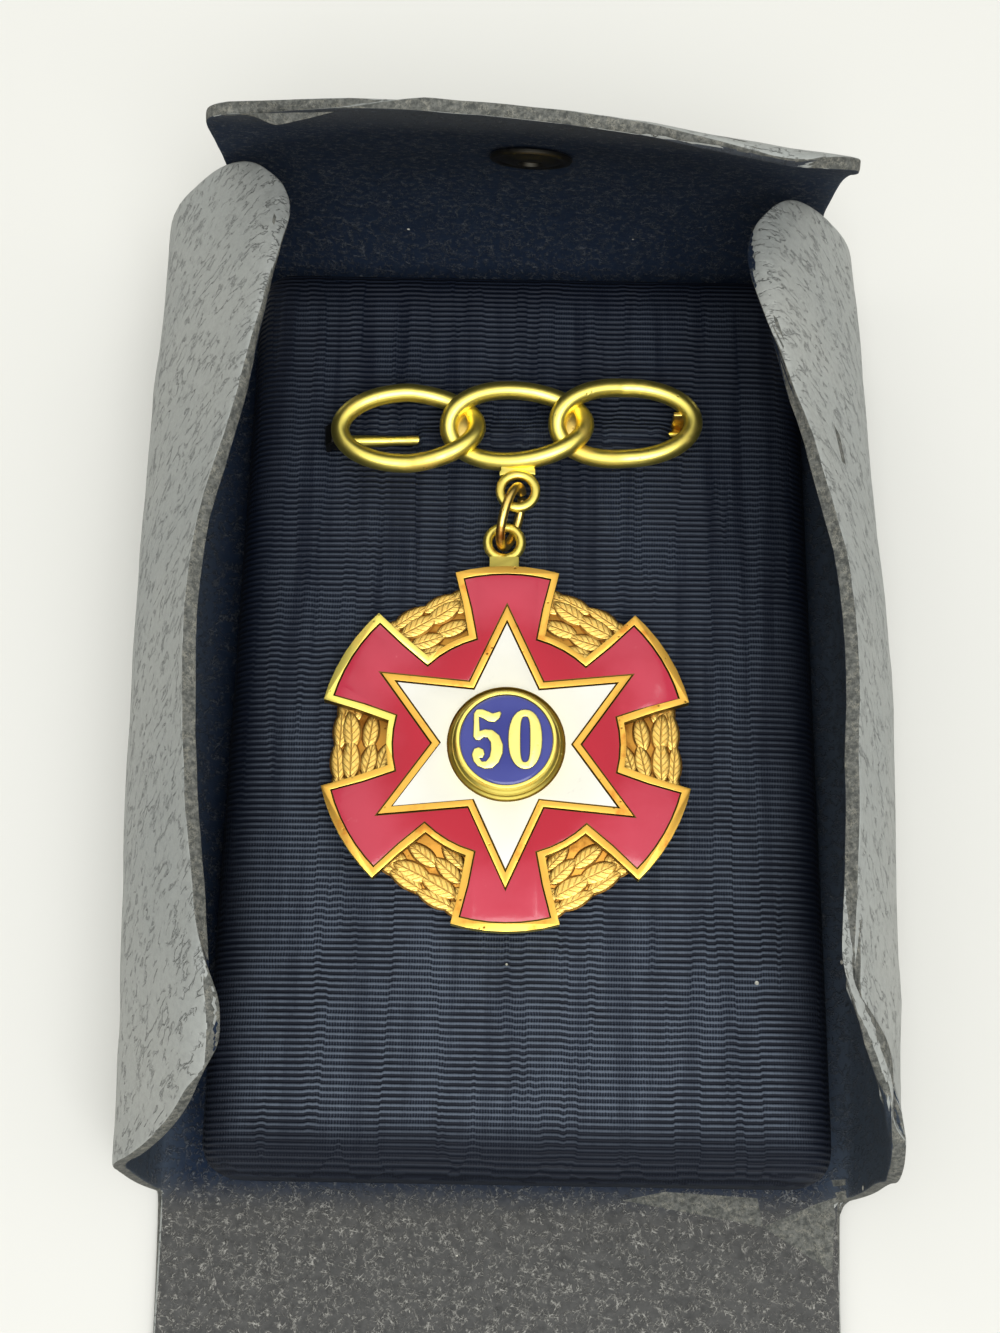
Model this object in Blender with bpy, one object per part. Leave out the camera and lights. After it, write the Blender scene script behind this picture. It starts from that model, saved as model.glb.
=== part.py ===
"""Lapel pin with a drop medal, lying in its soft folding case.

A bar of three linked ovals carries a jump ring, and the ring carries a six-armed enamelled
medal over a wreath of leaves. The bar's pin is pushed through the cover of a padded board,
and the board lies in a case cut from one sheet, with its flaps standing open.

The frame is the case's: X across, Y away from the viewer, Z up, with the origin in the middle
of the underside of the case's base.
"""
import math

import bmesh
import bpy
from mathutils import Matrix, Vector

MM = 0.001

# Clearances between pieces
SEAT_GAP = 0.3 * MM
REST_GAP = 0.1 * MM
ENAMEL_GAP = 0.05 * MM

# Case sheet: the base panel
SHEET_THICKNESS = 1.2 * MM
BASE_WIDTH = 60.0 * MM
BASE_LENGTH = 89.0 * MM

# Case sheet: the side flaps, measured on their inner faces, with how far each flap's ends lie
# in from the base's, and how far in and down its round corners reach
SIDE_FLAP_HEIGHT = 34.0 * MM
NEAR_END_MARGIN = 1.2 * MM
LEFT_FAR_MARGIN = -0.8 * MM
RIGHT_FAR_MARGIN = 1.5 * MM
NEAR_CORNER_REACH = 8.0 * MM
NEAR_CORNER_DROP = 19.0 * MM
FAR_CORNER_REACH = 8.0 * MM
FAR_CORNER_DROP = 11.0 * MM
SIDE_SWELL = 3.0 * MM
SIDE_SWELL_HEIGHT = 10.0 * MM
SIDE_LEAN = 8.0 * MM

# Case sheet: the top flap, which stands on a spine
SPINE_HEIGHT = 13.0 * MM
SPINE_SWELL = 3.0 * MM
TOP_FLAP_HEIGHT = 42.9 * MM
TOP_FLAP_WIDTH = BASE_WIDTH - 3.5 * MM
TOP_FLAP_SHIFT = 1.2 * MM
TOP_FLAP_LEAN = 6.1 * MM
TOP_FLAP_CORNER = 7.0 * MM

# Case sheet: the bottom flap, which lies flat
BOTTOM_FLAP_LENGTH = 47.0 * MM
BOTTOM_FLAP_CORNER = 7.0 * MM

# Press fastener: a socket on the top flap and a stud on the bottom flap
SNAP_RADIUS = 3.7 * MM
SNAP_HEIGHT = 1.3 * MM
SNAP_SHARE = 1.5
STUD_NECK_RADIUS = 1.7 * MM
STUD_FROM_EDGE = 12.0 * MM

# Padded board
PAD_LENGTH = BASE_LENGTH - 1.8 * MM
PAD_NEAR_WIDTH = BASE_WIDTH - 5.0 * MM
PAD_FAR_WIDTH = BASE_WIDTH - 7.0 * MM
PAD_HEIGHT = 8.35 * MM
PAD_SHIFT = 1.4 * MM
PAD_CORNER = 3.0 * MM
PAD_EDGE_ROUND = 2.6 * MM
PAD_EDGE_DROP = 0.7 * MM
PAD_SOFT_MARGIN = 9.0 * MM

# Bar of linked ovals
LINK_COUNT = 3
LINK_HALF_LENGTH = 6.4 * MM
LINK_HALF_WIDTH = 3.62 * MM
LINK_WIRE_RADIUS = 0.8 * MM
LINK_PITCH = 10.2 * MM
LINK_WEAVE = 0.6 * MM
BAR_TURN = math.radians(2.5)
BAR_FROM_FAR_EDGE = 18.5 * MM
BAR_SIDE = 0.4 * MM

# Pin under the bar, with its hinge block and its catch
STEM_RADIUS = 0.45 * MM
STEM_ROOT_RADIUS = 0.62 * MM
STEM_SINK = 0.3 * MM
STEM_BELOW_LINKS = 2.9 * MM
STEM_CLEARANCE = 0.3 * MM
HINGE_WIDTH = 2.5 * MM
HINGE_LENGTH = 2.6 * MM
CATCH_WIDTH = 1.6 * MM
CATCH_WALL = 0.4 * MM
CATCH_CLEARANCE = 0.15 * MM
ROOT_INSET = 0.7 * MM
POINT_REACH = 0.2 * MM
PUNCTURE_INSET = 6.4 * MM
RIDGE_COVER = 0.45 * MM
RIDGE_SPREAD = 1.5 * MM

# Soldered loops and the jump ring between them
BAR_LOOP_RADIUS = 1.62 * MM
BAR_LOOP_WIRE = 0.36 * MM
BAR_LOOP_SIDE = -0.1 * MM
BAR_SOLDER_WIDTH = 3.2 * MM
BAR_SOLDER_GAP = 0.25 * MM
MEDAL_LOOP_RADIUS = 1.56 * MM
MEDAL_LOOP_WIRE = 0.46 * MM
MEDAL_LOOP_SIDE = -0.3 * MM
COLLAR_WIDTH = 2.7 * MM
COLLAR_HEIGHT = 0.5 * MM
LOOP_SPACING = 4.75 * MM
LOOP_TURN = math.radians(14.4)
RING_WIRE_RADIUS = 0.43 * MM
RING_SLACK = 0.4 * MM
RING_HALF_WIDTH = 1.75 * MM
RING_LEAN = math.radians(20.0)
RING_CUT = 0.4 * MM

# Medal: the cross of arms and the star on it
ARM_COUNT = 6
MEDAL_RADIUS = 17.0 * MM
ARM_END_HALF_WIDTH = 4.78 * MM
ARM_ROOT_HALF_WIDTH = 3.5 * MM
ARM_WAIST = 0.1 * MM
NOTCH_RADIUS = 10.8 * MM
BORDER_WIDTH = 0.72 * MM
NOTCH_BORDER_WIDTH = 0.5 * MM
STAR_TIP_RADIUS = 13.1 * MM
STAR_NOTCH_RADIUS = 6.67 * MM
STAR_BORDER_WIDTH = 0.55 * MM
CROSS_THICKNESS = 1.1 * MM
ENAMEL_DEPTH = 0.6 * MM
ENAMEL_BELOW_RIM = 0.1 * MM
MEDAL_TURN = math.radians(0.5)

# Wreath plate behind the arms
WREATH_THICKNESS = 0.6 * MM
WREATH_OUTER_RADIUS = 15.7 * MM
LEAF_LINE_RADIUS = 13.4 * MM
LEAF_LENGTH = 4.2 * MM
LEAF_WIDTH = 1.8 * MM
LEAF_RELIEF = 0.34 * MM
LEAF_EDGE_HEIGHT = 0.1 * MM

# Centre boss and its numerals
BOSS_FOOT_RADIUS = 5.2 * MM
BOSS_FOOT_HEIGHT = 0.65 * MM
BOSS_STEP_RADIUS = 4.85 * MM
BOSS_RADIUS = 4.5 * MM
BOSS_HEIGHT = 2.0 * MM
BOSS_RIM_WIDTH = 0.33 * MM
BOSS_RECESS = 0.45 * MM
NUMERAL_HEIGHT = 5.5 * MM
FIVE_WIDTH = 2.8 * MM
ZERO_WIDTH = 3.05 * MM
ZERO_STROKE = 1.1 * MM
ZERO_CROWN = 0.64 * MM
NUMERAL_SPACING = 3.36 * MM
NUMERAL_RELIEF = 0.22 * MM

# Heights and places worked out from the sizes above
PAD_UNDERSIDE = SHEET_THICKNESS + SEAT_GAP
PAD_TOP = PAD_UNDERSIDE + PAD_HEIGHT
STEM_Z = PAD_TOP + STEM_RADIUS - STEM_SINK
LINK_Z = STEM_Z + STEM_BELOW_LINKS
WREATH_BACK_Z = PAD_TOP + REST_GAP
CROSS_BACK_Z = WREATH_BACK_Z + WREATH_THICKNESS + LEAF_RELIEF + ENAMEL_GAP
CROSS_TOP_Z = CROSS_BACK_Z + CROSS_THICKNESS
CROSS_FLOOR_Z = CROSS_TOP_Z - ENAMEL_DEPTH
ENAMEL_TOP_Z = CROSS_TOP_Z - ENAMEL_BELOW_RIM
BOSS_FOOT_Z = CROSS_FLOOR_Z + ENAMEL_GAP
BOSS_TOP_Z = BOSS_FOOT_Z + BOSS_HEIGHT
BLUE_RADIUS = BOSS_RADIUS - BOSS_RIM_WIDTH - ENAMEL_GAP
BLUE_TOP_Z = BOSS_TOP_Z - ENAMEL_BELOW_RIM

BAR_HALF_LENGTH = (LINK_COUNT - 1) * LINK_PITCH / 2 + LINK_HALF_LENGTH
STEM_START = -BAR_HALF_LENGTH + ROOT_INSET
STEM_END = BAR_HALF_LENGTH + POINT_REACH
CATCH_START = BAR_HALF_LENGTH - CATCH_WIDTH - POINT_REACH
RIDGE_START = -BAR_HALF_LENGTH + PUNCTURE_INSET
RIDGE_END = CATCH_START - SEAT_GAP
BAR_PLACE = Vector((BAR_SIDE, PAD_LENGTH / 2 - BAR_FROM_FAR_EDGE, 0.0))
BAR_LOOP_DROP = (LINK_HALF_WIDTH + LINK_WIRE_RADIUS + BAR_SOLDER_GAP
                 + BAR_LOOP_WIRE + BAR_LOOP_RADIUS)
BAR_LOOP_PLACE = (BAR_PLACE + Vector((0, 0, LINK_Z))
                  + Matrix.Rotation(BAR_TURN, 3, "Z") @ Vector((BAR_LOOP_SIDE, -BAR_LOOP_DROP, 0)))
MEDAL_LOOP_Z = CROSS_BACK_Z + MEDAL_LOOP_WIRE
MEDAL_LOOP_REACH = MEDAL_RADIUS + COLLAR_HEIGHT + MEDAL_LOOP_WIRE + MEDAL_LOOP_RADIUS
MEDAL_LOOP_PLACE = Vector((BAR_LOOP_PLACE.x - LOOP_SPACING * math.sin(LOOP_TURN),
                           BAR_LOOP_PLACE.y - LOOP_SPACING * math.cos(LOOP_TURN), MEDAL_LOOP_Z))
MEDAL_PLACE = (Vector((MEDAL_LOOP_PLACE.x, MEDAL_LOOP_PLACE.y, 0))
               - Matrix.Rotation(MEDAL_TURN, 3, "Z") @ Vector((MEDAL_LOOP_SIDE, MEDAL_LOOP_REACH, 0)))

# Side flap sections: share of the length from the near end to the far end, then how far the
# fold swells out, how far the free edge leans in and how high it stands, as shares of the sizes
LEFT_FLAP = (
    (-1.00, 0.45, 0.92, 0.93),
    (-0.80, 0.55, 0.94, 1.00),
    (-0.50, 0.75, 0.72, 1.00),
    (-0.15, 0.90, 0.62, 1.01),
    (0.10, 0.95, 0.64, 1.01),
    (0.40, 1.00, 0.90, 1.00),
    (0.70, 0.95, 1.12, 0.97),
    (1.00, 0.90, 1.18, 0.88),
)
RIGHT_FLAP = (
    (-1.00, 0.62, -0.12, 0.74),
    (-0.93, 0.75, 0.02, 0.83),
    (-0.86, 0.88, 0.40, 0.95),
    (-0.80, 0.95, 0.56, 0.98),
    (-0.50, 1.00, 0.49, 1.00),
    (-0.15, 1.00, 0.39, 1.01),
    (0.10, 0.98, 0.43, 1.01),
    (0.40, 0.90, 0.78, 1.00),
    (0.70, 0.75, 1.06, 0.96),
    (1.00, 0.55, 1.12, 0.84),
)

# Top flap sections: share of the width from left to right, then swell, lean and height
TOP_FLAP = (
    (-1.00, 1.05, 0.75, 0.97),
    (-0.60, 1.00, 0.92, 1.02),
    (0.00, 0.95, 0.98, 1.01),
    (0.60, 0.75, 1.22, 0.98),
    (1.00, 0.55, 1.30, 0.94),
)

# Shares along a flap where its sheet has a row of points: 1 at the swell, 2 at the free edge
STANDING_SHARES = (0.3, 0.6, 0.8, 1.0, 1.2, 1.4, 1.6, 1.76, 1.87, 1.95, 1.985, 2.0)
LYING_SHARES = (0.3, 0.6, 0.85, 0.92, 0.975, 1.0)
# Shares of the base's half width and half length where the sheet has a line of points
ACROSS_SHARES = (-1.0, -0.75, -0.4, 0.0, 0.4, 0.75, 1.0)
ALONG_SHARES = (-1.0, -0.95, -0.9, -0.85, -0.78, -0.64, -0.42, -0.15, 0.15, 0.42, 0.64, 0.82, 0.93, 1.0)

# Leaves in one gap of the wreath: where the stalk lies along the ring and out from the leaf
# line, as shares of a leaf's length, its turn outward in degrees, its length and its width
WREATH_LEAVES = (
    (-0.62, -0.08, -4.0, 1.00, 1.00),
    (-0.66, 0.20, 20.0, 1.00, 0.85),
    (-0.60, -0.38, -20.0, 0.95, 0.85),
    (0.05, 0.30, 10.0, 0.95, 0.80),
    (0.15, -0.42, -14.0, 0.85, 0.80),
)
# A leaf's half width at shares of its length
LEAF_OUTLINE = ((0.0, 0.0), (0.28, 0.44), (0.62, 0.42), (1.0, 0.0))

# Outline of the figure five, as shares of its width and height from its middle
FIVE_OUTLINE = (
    (-0.46, 0.03), (-0.45, 0.25), (-0.45, 0.42), (-0.36, 0.49), (-0.18, 0.50), (-0.02, 0.47),
    (0.16, 0.43), (0.30, 0.45), (0.39, 0.47), (0.44, 0.43), (0.38, 0.35), (0.22, 0.28),
    (0.03, 0.29), (-0.15, 0.34), (-0.28, 0.38), (-0.26, 0.25), (-0.25, 0.13), (-0.08, 0.16),
    (0.16, 0.15), (0.38, 0.06), (0.50, -0.10), (0.49, -0.24), (0.37, -0.39), (0.16, -0.49),
    (-0.08, -0.50), (-0.30, -0.46), (-0.44, -0.38), (-0.50, -0.27), (-0.43, -0.17),
    (-0.28, -0.14), (-0.12, -0.18), (-0.08, -0.26), (-0.15, -0.32), (-0.26, -0.32),
    (-0.17, -0.38), (-0.04, -0.38), (0.07, -0.30), (0.11, -0.18), (0.10, -0.06), (0.00, 0.02),
    (-0.12, 0.03), (-0.26, -0.03), (-0.38, -0.02),
)


def clear_scene():
    for item in list(bpy.data.objects):
        bpy.data.objects.remove(item, do_unlink=True)


def material(name, color, roughness, metallic=0.0):
    made = bpy.data.materials.new(name)
    made.use_nodes = True
    shader = made.node_tree.nodes["Principled BSDF"]
    shader.inputs["Base Color"].default_value = (*color, 1.0)
    shader.inputs["Roughness"].default_value = roughness
    shader.inputs["Metallic"].default_value = metallic
    return made


def add_object(name, mesh, finish, place=(0.0, 0.0, 0.0), turn=0.0):
    made = bpy.data.objects.new(name, mesh)
    made.location = place
    made.rotation_euler = (0.0, 0.0, turn)
    made.data.materials.append(finish)
    bpy.context.scene.collection.objects.link(made)
    return made


def mesh_from(name, bm):
    bmesh.ops.recalc_face_normals(bm, faces=bm.faces)
    mesh = bpy.data.meshes.new(name)
    bm.to_mesh(mesh)
    bm.free()
    mesh.shade_smooth()
    mesh.set_sharp_from_angle(angle=math.radians(35.0))
    return mesh


def loft(name, loops, closed=False):
    """A body through loops of equally many points. A closed loft is a ring without caps."""
    bm = bmesh.new()
    rings = [[bm.verts.new(point) for point in loop] for loop in loops]
    pairs = list(zip(rings, rings[1:]))
    if closed:
        pairs.append((rings[-1], rings[0]))
    for lower, upper in pairs:
        for i in range(len(lower)):
            j = (i + 1) % len(lower)
            bm.faces.new((lower[i], lower[j], upper[j], upper[i]))
    if not closed:
        bm.faces.new(rings[0])
        bm.faces.new(rings[-1])
    return mesh_from(name, bm)


def at_height(outline, z):
    return [(x, y, z) for x, y in outline]


def prism(name, outline, bottom, top):
    return loft(name, [at_height(outline, bottom), at_height(outline, top)])


def box(name, low, high):
    corners = ((low[0], low[1]), (high[0], low[1]), (high[0], high[1]), (low[0], high[1]))
    return prism(name, corners, low[2], high[2])


def circle(radius, count):
    turns = (math.tau * k / count for k in range(count))
    return [(radius * math.cos(a), radius * math.sin(a)) for a in turns]


def turned(name, profile, count):
    """Turn a profile of radius and height pairs about Z."""
    return loft(name, [at_height(circle(radius, count), z) for radius, z in profile])


def wire(name, path, radius, sides, cyclic=True):
    """A round wire along a path, as a mesh, with filled ends where the path is open."""
    curve = bpy.data.curves.new(name, "CURVE")
    curve.dimensions = "3D"
    curve.bevel_depth = radius
    curve.bevel_resolution = sides // 2 - 2
    curve.use_fill_caps = not cyclic
    spline = curve.splines.new("POLY")
    spline.points.add(len(path) - 1)
    for point, place in zip(spline.points, path):
        point.co = (*place, 1.0)
    spline.use_cyclic_u = cyclic
    guide = bpy.data.objects.new(name, curve)
    swept = bpy.data.meshes.new_from_object(guide)
    bm = bmesh.new()
    bm.from_mesh(swept)
    bmesh.ops.remove_doubles(bm, verts=bm.verts, dist=0.001 * MM)
    bpy.data.objects.remove(guide)
    return mesh_from(name, bm)


def torus(name, centre, radius, wire_radius, count, sides):
    path = [(centre[0] + x, centre[1] + y, centre[2]) for x, y in circle(radius, count)]
    return wire(name, path, wire_radius, sides)


def combine(target, meshes, operation):
    """Join hidden solids to a piece, or cut them from it, with one Boolean modifier."""
    group = bpy.data.collections.new(f"{target.name} {operation.lower()}")
    bpy.context.scene.collection.children.link(group)
    for mesh in meshes:
        tool = bpy.data.objects.new(mesh.name, mesh)
        tool.location = target.location
        tool.rotation_euler = target.rotation_euler
        tool.hide_render = True
        tool.display_type = "WIRE"
        group.objects.link(tool)
    joined = target.modifiers.new(operation.title(), "BOOLEAN")
    joined.operation = operation
    joined.solver = "EXACT"
    joined.operand_type = "COLLECTION"
    joined.collection = group


def hermite(start, start_slope, end, end_slope, t):
    return ((2 * t**3 - 3 * t**2 + 1) * start + (t**3 - 2 * t**2 + t) * start_slope
            + (3 * t**2 - 2 * t**3) * end + (t**3 - t**2) * end_slope)


def table_at(rows, share):
    """A table's other columns at a share of its first column, on a smooth curve."""
    shares = [row[0] for row in rows]
    last = len(rows) - 1
    i = min(max(sum(share >= value for value in shares) - 1, 0), last - 1)
    span = shares[i + 1] - shares[i]

    def slope(k, column):
        before, after = max(k - 1, 0), min(k + 1, last)
        return (rows[after][column] - rows[before][column]) / (shares[after] - shares[before])

    return [hermite(rows[i][column], slope(i, column) * span, rows[i + 1][column],
                    slope(i + 1, column) * span, (share - shares[i]) / span)
            for column in range(1, len(rows[0]))]


def standing_profile(swell, swell_height, lean, height, share):
    """Out and up from the fold line of a standing flap, at a share of 0 to 2.

    The sheet leaves the base flat, is upright at the swell, share 1, and leans in from there.
    """
    if share <= 1.0:
        out = hermite(0.0, 2.2 * swell, swell, 0.0, share)
        return out, hermite(0.0, 0.0, swell_height, 1.4 * swell_height, share)
    rise = height - swell_height
    out = hermite(swell, 0.0, -lean, -1.2 * (lean + swell), share - 1.0)
    return out, hermite(swell_height, 1.1 * rise, height, 0.95 * rise, share - 1.0)


def corner_inset(from_edge, reach, drop):
    """How far a flap's side is drawn in at a distance from its free edge, for a round corner."""
    t = min(max(1.0 - from_edge / drop, 0.0), 1.0)
    return reach * (1.0 - math.sqrt(1.0 - t * t))


def side_flap_point(rows, far_margin, side, along, share):
    """A point of a side flap's inner face, with side -1 for left and 1 for right."""
    swell, lean, height = table_at(rows, along)
    out, up = standing_profile(swell * SIDE_SWELL, SIDE_SWELL_HEIGHT, lean * SIDE_LEAN,
                               height * SIDE_FLAP_HEIGHT - SHEET_THICKNESS, share)
    from_edge = (2.0 - share) * (SIDE_FLAP_HEIGHT - SIDE_SWELL_HEIGHT)
    inset = (corner_inset(from_edge, NEAR_CORNER_REACH, NEAR_CORNER_DROP) if along < 0
             else corner_inset(from_edge, FAR_CORNER_REACH, FAR_CORNER_DROP))
    fold_y = along * BASE_LENGTH / 2
    half = (BASE_LENGTH - NEAR_END_MARGIN - far_margin) / 2 - inset
    shift = (NEAR_END_MARGIN - far_margin) / 2
    y = fold_y + min(share, 1.0) * (along * half + shift - fold_y)
    return Vector((side * (BASE_WIDTH / 2 + out), y, SHEET_THICKNESS + up))


def top_flap_point(across, share):
    swell, lean, height = table_at(TOP_FLAP, across)
    out, up = standing_profile(swell * SPINE_SWELL, SPINE_HEIGHT, lean * TOP_FLAP_LEAN,
                               height * TOP_FLAP_HEIGHT - SHEET_THICKNESS, share)
    from_edge = (2.0 - share) * (TOP_FLAP_HEIGHT - SPINE_HEIGHT)
    half = TOP_FLAP_WIDTH / 2 - corner_inset(from_edge, TOP_FLAP_CORNER, TOP_FLAP_CORNER)
    fold_x = across * BASE_WIDTH / 2
    x = fold_x + min(share, 1.0) * (across * half + TOP_FLAP_SHIFT - fold_x)
    return Vector((x, BASE_LENGTH / 2 + out, SHEET_THICKNESS + up))


def bottom_flap_point(across, share):
    from_edge = (1.0 - share) * BOTTOM_FLAP_LENGTH
    half = BASE_WIDTH / 2 - corner_inset(from_edge, BOTTOM_FLAP_CORNER, BOTTOM_FLAP_CORNER)
    return Vector((across * half, -BASE_LENGTH / 2 - share * BOTTOM_FLAP_LENGTH, SHEET_THICKNESS))


def case_sheet(finish):
    """One cross-shaped sheet: its inner face as a grid of quads, then given its thickness."""
    bm = bmesh.new()
    grid = {}
    last_column, last_row = len(ACROSS_SHARES) - 1, len(ALONG_SHARES) - 1
    for j, along in enumerate(ALONG_SHARES):
        for i, across in enumerate(ACROSS_SHARES):
            place = (across * BASE_WIDTH / 2, along * BASE_LENGTH / 2, SHEET_THICKNESS)
            grid[i, j] = bm.verts.new(place)
        for k, share in enumerate(STANDING_SHARES, start=1):
            left = side_flap_point(LEFT_FLAP, LEFT_FAR_MARGIN, -1, along, share)
            right = side_flap_point(RIGHT_FLAP, RIGHT_FAR_MARGIN, 1, along, share)
            grid[-k, j] = bm.verts.new(left)
            grid[last_column + k, j] = bm.verts.new(right)
    for i, across in enumerate(ACROSS_SHARES):
        for k, share in enumerate(STANDING_SHARES, start=1):
            grid[i, last_row + k] = bm.verts.new(top_flap_point(across, share))
        for k, share in enumerate(LYING_SHARES, start=1):
            grid[i, -k] = bm.verts.new(bottom_flap_point(across, share))
    for i, j in list(grid):
        corners = [grid.get(key) for key in ((i, j), (i + 1, j), (i + 1, j + 1), (i, j + 1))]
        if all(corners):
            bm.faces.new(corners)
    mesh = mesh_from("case_sheet", bm)
    if mesh.polygons[0].normal.z < 0:
        mesh.flip_normals()
    sheet = add_object("case_sheet", mesh, finish)
    solid = sheet.modifiers.new("Thickness", "SOLIDIFY")
    solid.thickness = SHEET_THICKNESS
    solid.offset = -1.0
    solid.use_quality_normals = True


def press_socket(finish):
    """The domed socket on the inner face of the top flap, square to the flap."""
    step = 0.05
    place = top_flap_point(0.0, SNAP_SHARE)
    across = (top_flap_point(step, SNAP_SHARE) - place).normalized()
    upward = (top_flap_point(0.0, SNAP_SHARE + step) - place).normalized()
    inward = across.cross(upward).normalized()
    profile = ((0.9, 0.0), (1.0, 0.15), (0.98, 0.4), (0.8, 0.75), (0.45, 1.0), (0.3, 0.8))
    mesh = turned("press_socket", [(r * SNAP_RADIUS, z * SNAP_HEIGHT) for r, z in profile], 24)
    socket = add_object("press_socket", mesh, finish, place + inward * SEAT_GAP)
    socket.rotation_euler = inward.to_track_quat("Z", "Y").to_euler()


def press_stud(finish):
    """The stud that the socket closes on, on the bottom flap."""
    neck = STUD_NECK_RADIUS / SNAP_RADIUS
    profile = ((0.95, 0.0), (1.0, 0.2), (0.85, 0.45), (neck, 0.5), (neck, 0.8),
               (neck * 1.15, 1.0), (neck * 0.8, 1.3))
    mesh = turned("press_stud", [(r * SNAP_RADIUS, z * SNAP_HEIGHT) for r, z in profile], 24)
    y = -BASE_LENGTH / 2 - BOTTOM_FLAP_LENGTH + STUD_FROM_EDGE
    add_object("press_stud", mesh, finish, (0.0, y, SHEET_THICKNESS + REST_GAP))


def edge_distance(x, y, half_x, half_y, corner):
    """Distance of a point inside a rounded rectangle from its outline."""
    dx, dy = half_x - abs(x), half_y - abs(y)
    if dx < corner and dy < corner:
        return corner - math.hypot(corner - dx, corner - dy)
    return min(dx, dy)


def round_corner(x, y, half_x, half_y, corner):
    """Draw a grid point near a square corner in to the rounded outline."""
    dx, dy = abs(x) - (half_x - corner), abs(y) - (half_y - corner)
    if dx <= 0 or dy <= 0:
        return x, y
    reach = max(dx, dy) / math.hypot(dx, dy)
    return (math.copysign(half_x - corner + dx * reach, x),
            math.copysign(half_y - corner + dy * reach, y))


def pad_surface(x, y, half_x):
    """Height of the board's cover: flat in the middle, soft towards the edges, round at them."""
    inside = max(edge_distance(x, y, half_x, PAD_LENGTH / 2, PAD_CORNER), 0.0)
    t = max(1.0 - inside / PAD_EDGE_ROUND, 0.0)
    soft = PAD_EDGE_DROP * max(1.0 - inside / PAD_SOFT_MARGIN, 0.0) ** 2
    return PAD_TOP - soft - PAD_EDGE_ROUND * (1.0 - math.sqrt(1.0 - t * t))


def ridge_height(x, y):
    """How far the cover is lifted where the pin's stem runs under it."""
    local = Matrix.Rotation(-BAR_TURN, 3, "Z") @ (Vector((x, y, 0.0)) - BAR_PLACE)
    share = abs(local.x - (RIDGE_START + RIDGE_END) / 2) / ((RIDGE_END - RIDGE_START) / 2)
    peak = STEM_Z + STEM_RADIUS + STEM_CLEARANCE + RIDGE_COVER - PAD_TOP
    return peak * math.exp(-((local.y / RIDGE_SPREAD) ** 2)) * max(1.0 - share**8, 0.0)


def graded_places(half, steps):
    """Places from -half to half, even in the middle and closer towards the rounded edges."""
    inner = half - PAD_SOFT_MARGIN / 2
    even = [inner * (2.0 * k / steps - 1.0) for k in range(steps + 1)]
    outer = [half - share * PAD_EDGE_ROUND for share in (1.0, 0.5, 0.2, 0.05, 0.0)]
    return [-value for value in reversed(outer)] + even + outer


def padded_board(finish):
    """The board that fills the case, with a tunnel for the stem and a pocket for its catch."""
    half_length = PAD_LENGTH / 2
    near_bar = [BAR_PLACE.y + share * RIDGE_SPREAD for share in (-2, -1.2, -0.6, 0, 0.6, 1.2, 2)]
    clear = 2.3 * RIDGE_SPREAD
    rows = [y for y in graded_places(half_length, 12) if abs(y - BAR_PLACE.y) > clear]
    columns = [x / PAD_NEAR_WIDTH * 2 for x in graded_places(PAD_NEAR_WIDTH / 2, 12)]
    bm = bmesh.new()
    grid = []
    for y in sorted(rows + near_bar):
        far_share = (y + half_length) / PAD_LENGTH
        half_x = (PAD_NEAR_WIDTH + (PAD_FAR_WIDTH - PAD_NEAR_WIDTH) * far_share) / 2
        line = []
        for column in columns:
            px, py = round_corner(column * half_x, y, half_x, half_length, PAD_CORNER)
            z = pad_surface(px, py, half_x) + ridge_height(px + PAD_SHIFT, py)
            line.append(bm.verts.new((px + PAD_SHIFT, py, z)))
        grid.append(line)
    for lower, upper in zip(grid, grid[1:]):
        for i in range(len(columns) - 1):
            bm.faces.new((lower[i], lower[i + 1], upper[i + 1], upper[i]))
    rim = [edge for edge in bm.edges if edge.is_boundary]
    for item in bmesh.ops.extrude_edge_only(bm, edges=rim)["geom"]:
        if isinstance(item, bmesh.types.BMVert):
            item.co.z = PAD_UNDERSIDE
    bmesh.ops.contextual_create(bm, geom=[edge for edge in bm.edges if edge.is_boundary])
    pad = add_object("padded_board", mesh_from("padded_board", bm), finish)

    def bar_point(x, y, z):
        return BAR_PLACE + Matrix.Rotation(BAR_TURN, 3, "Z") @ Vector((x, y, z))

    ends = [bar_point(x, 0.0, STEM_Z) for x in (STEM_START - HINGE_WIDTH, STEM_END + SEAT_GAP)]
    tunnel = wire("stem_tunnel", ends, STEM_RADIUS + STEM_CLEARANCE, 8, cyclic=False)
    reach = STEM_RADIUS + CATCH_CLEARANCE + CATCH_WALL + SEAT_GAP
    pocket = box("catch_pocket", (CATCH_START - SEAT_GAP, -reach, STEM_Z - reach),
                 (CATCH_START + CATCH_WIDTH + SEAT_GAP, reach, LINK_Z))
    pocket.transform(Matrix.Translation(BAR_PLACE) @ Matrix.Rotation(BAR_TURN, 4, "Z"))
    combine(pad, [tunnel, pocket], "DIFFERENCE")


def link_path(index):
    """The middle line of one oval, woven over and under where it meets its neighbours."""
    middle = (index - (LINK_COUNT - 1) / 2) * LINK_PITCH
    path = []
    steps = 40
    for k in range(steps):
        turn = math.tau * k / steps
        meets = index < LINK_COUNT - 1 if math.cos(turn) > 0 else index > 0
        lift = -LINK_WEAVE * math.sin(2 * turn) if meets else 0.0
        path.append((middle + LINK_HALF_LENGTH * math.cos(turn),
                     LINK_HALF_WIDTH * math.sin(turn), LINK_Z + lift))
    return path


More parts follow.
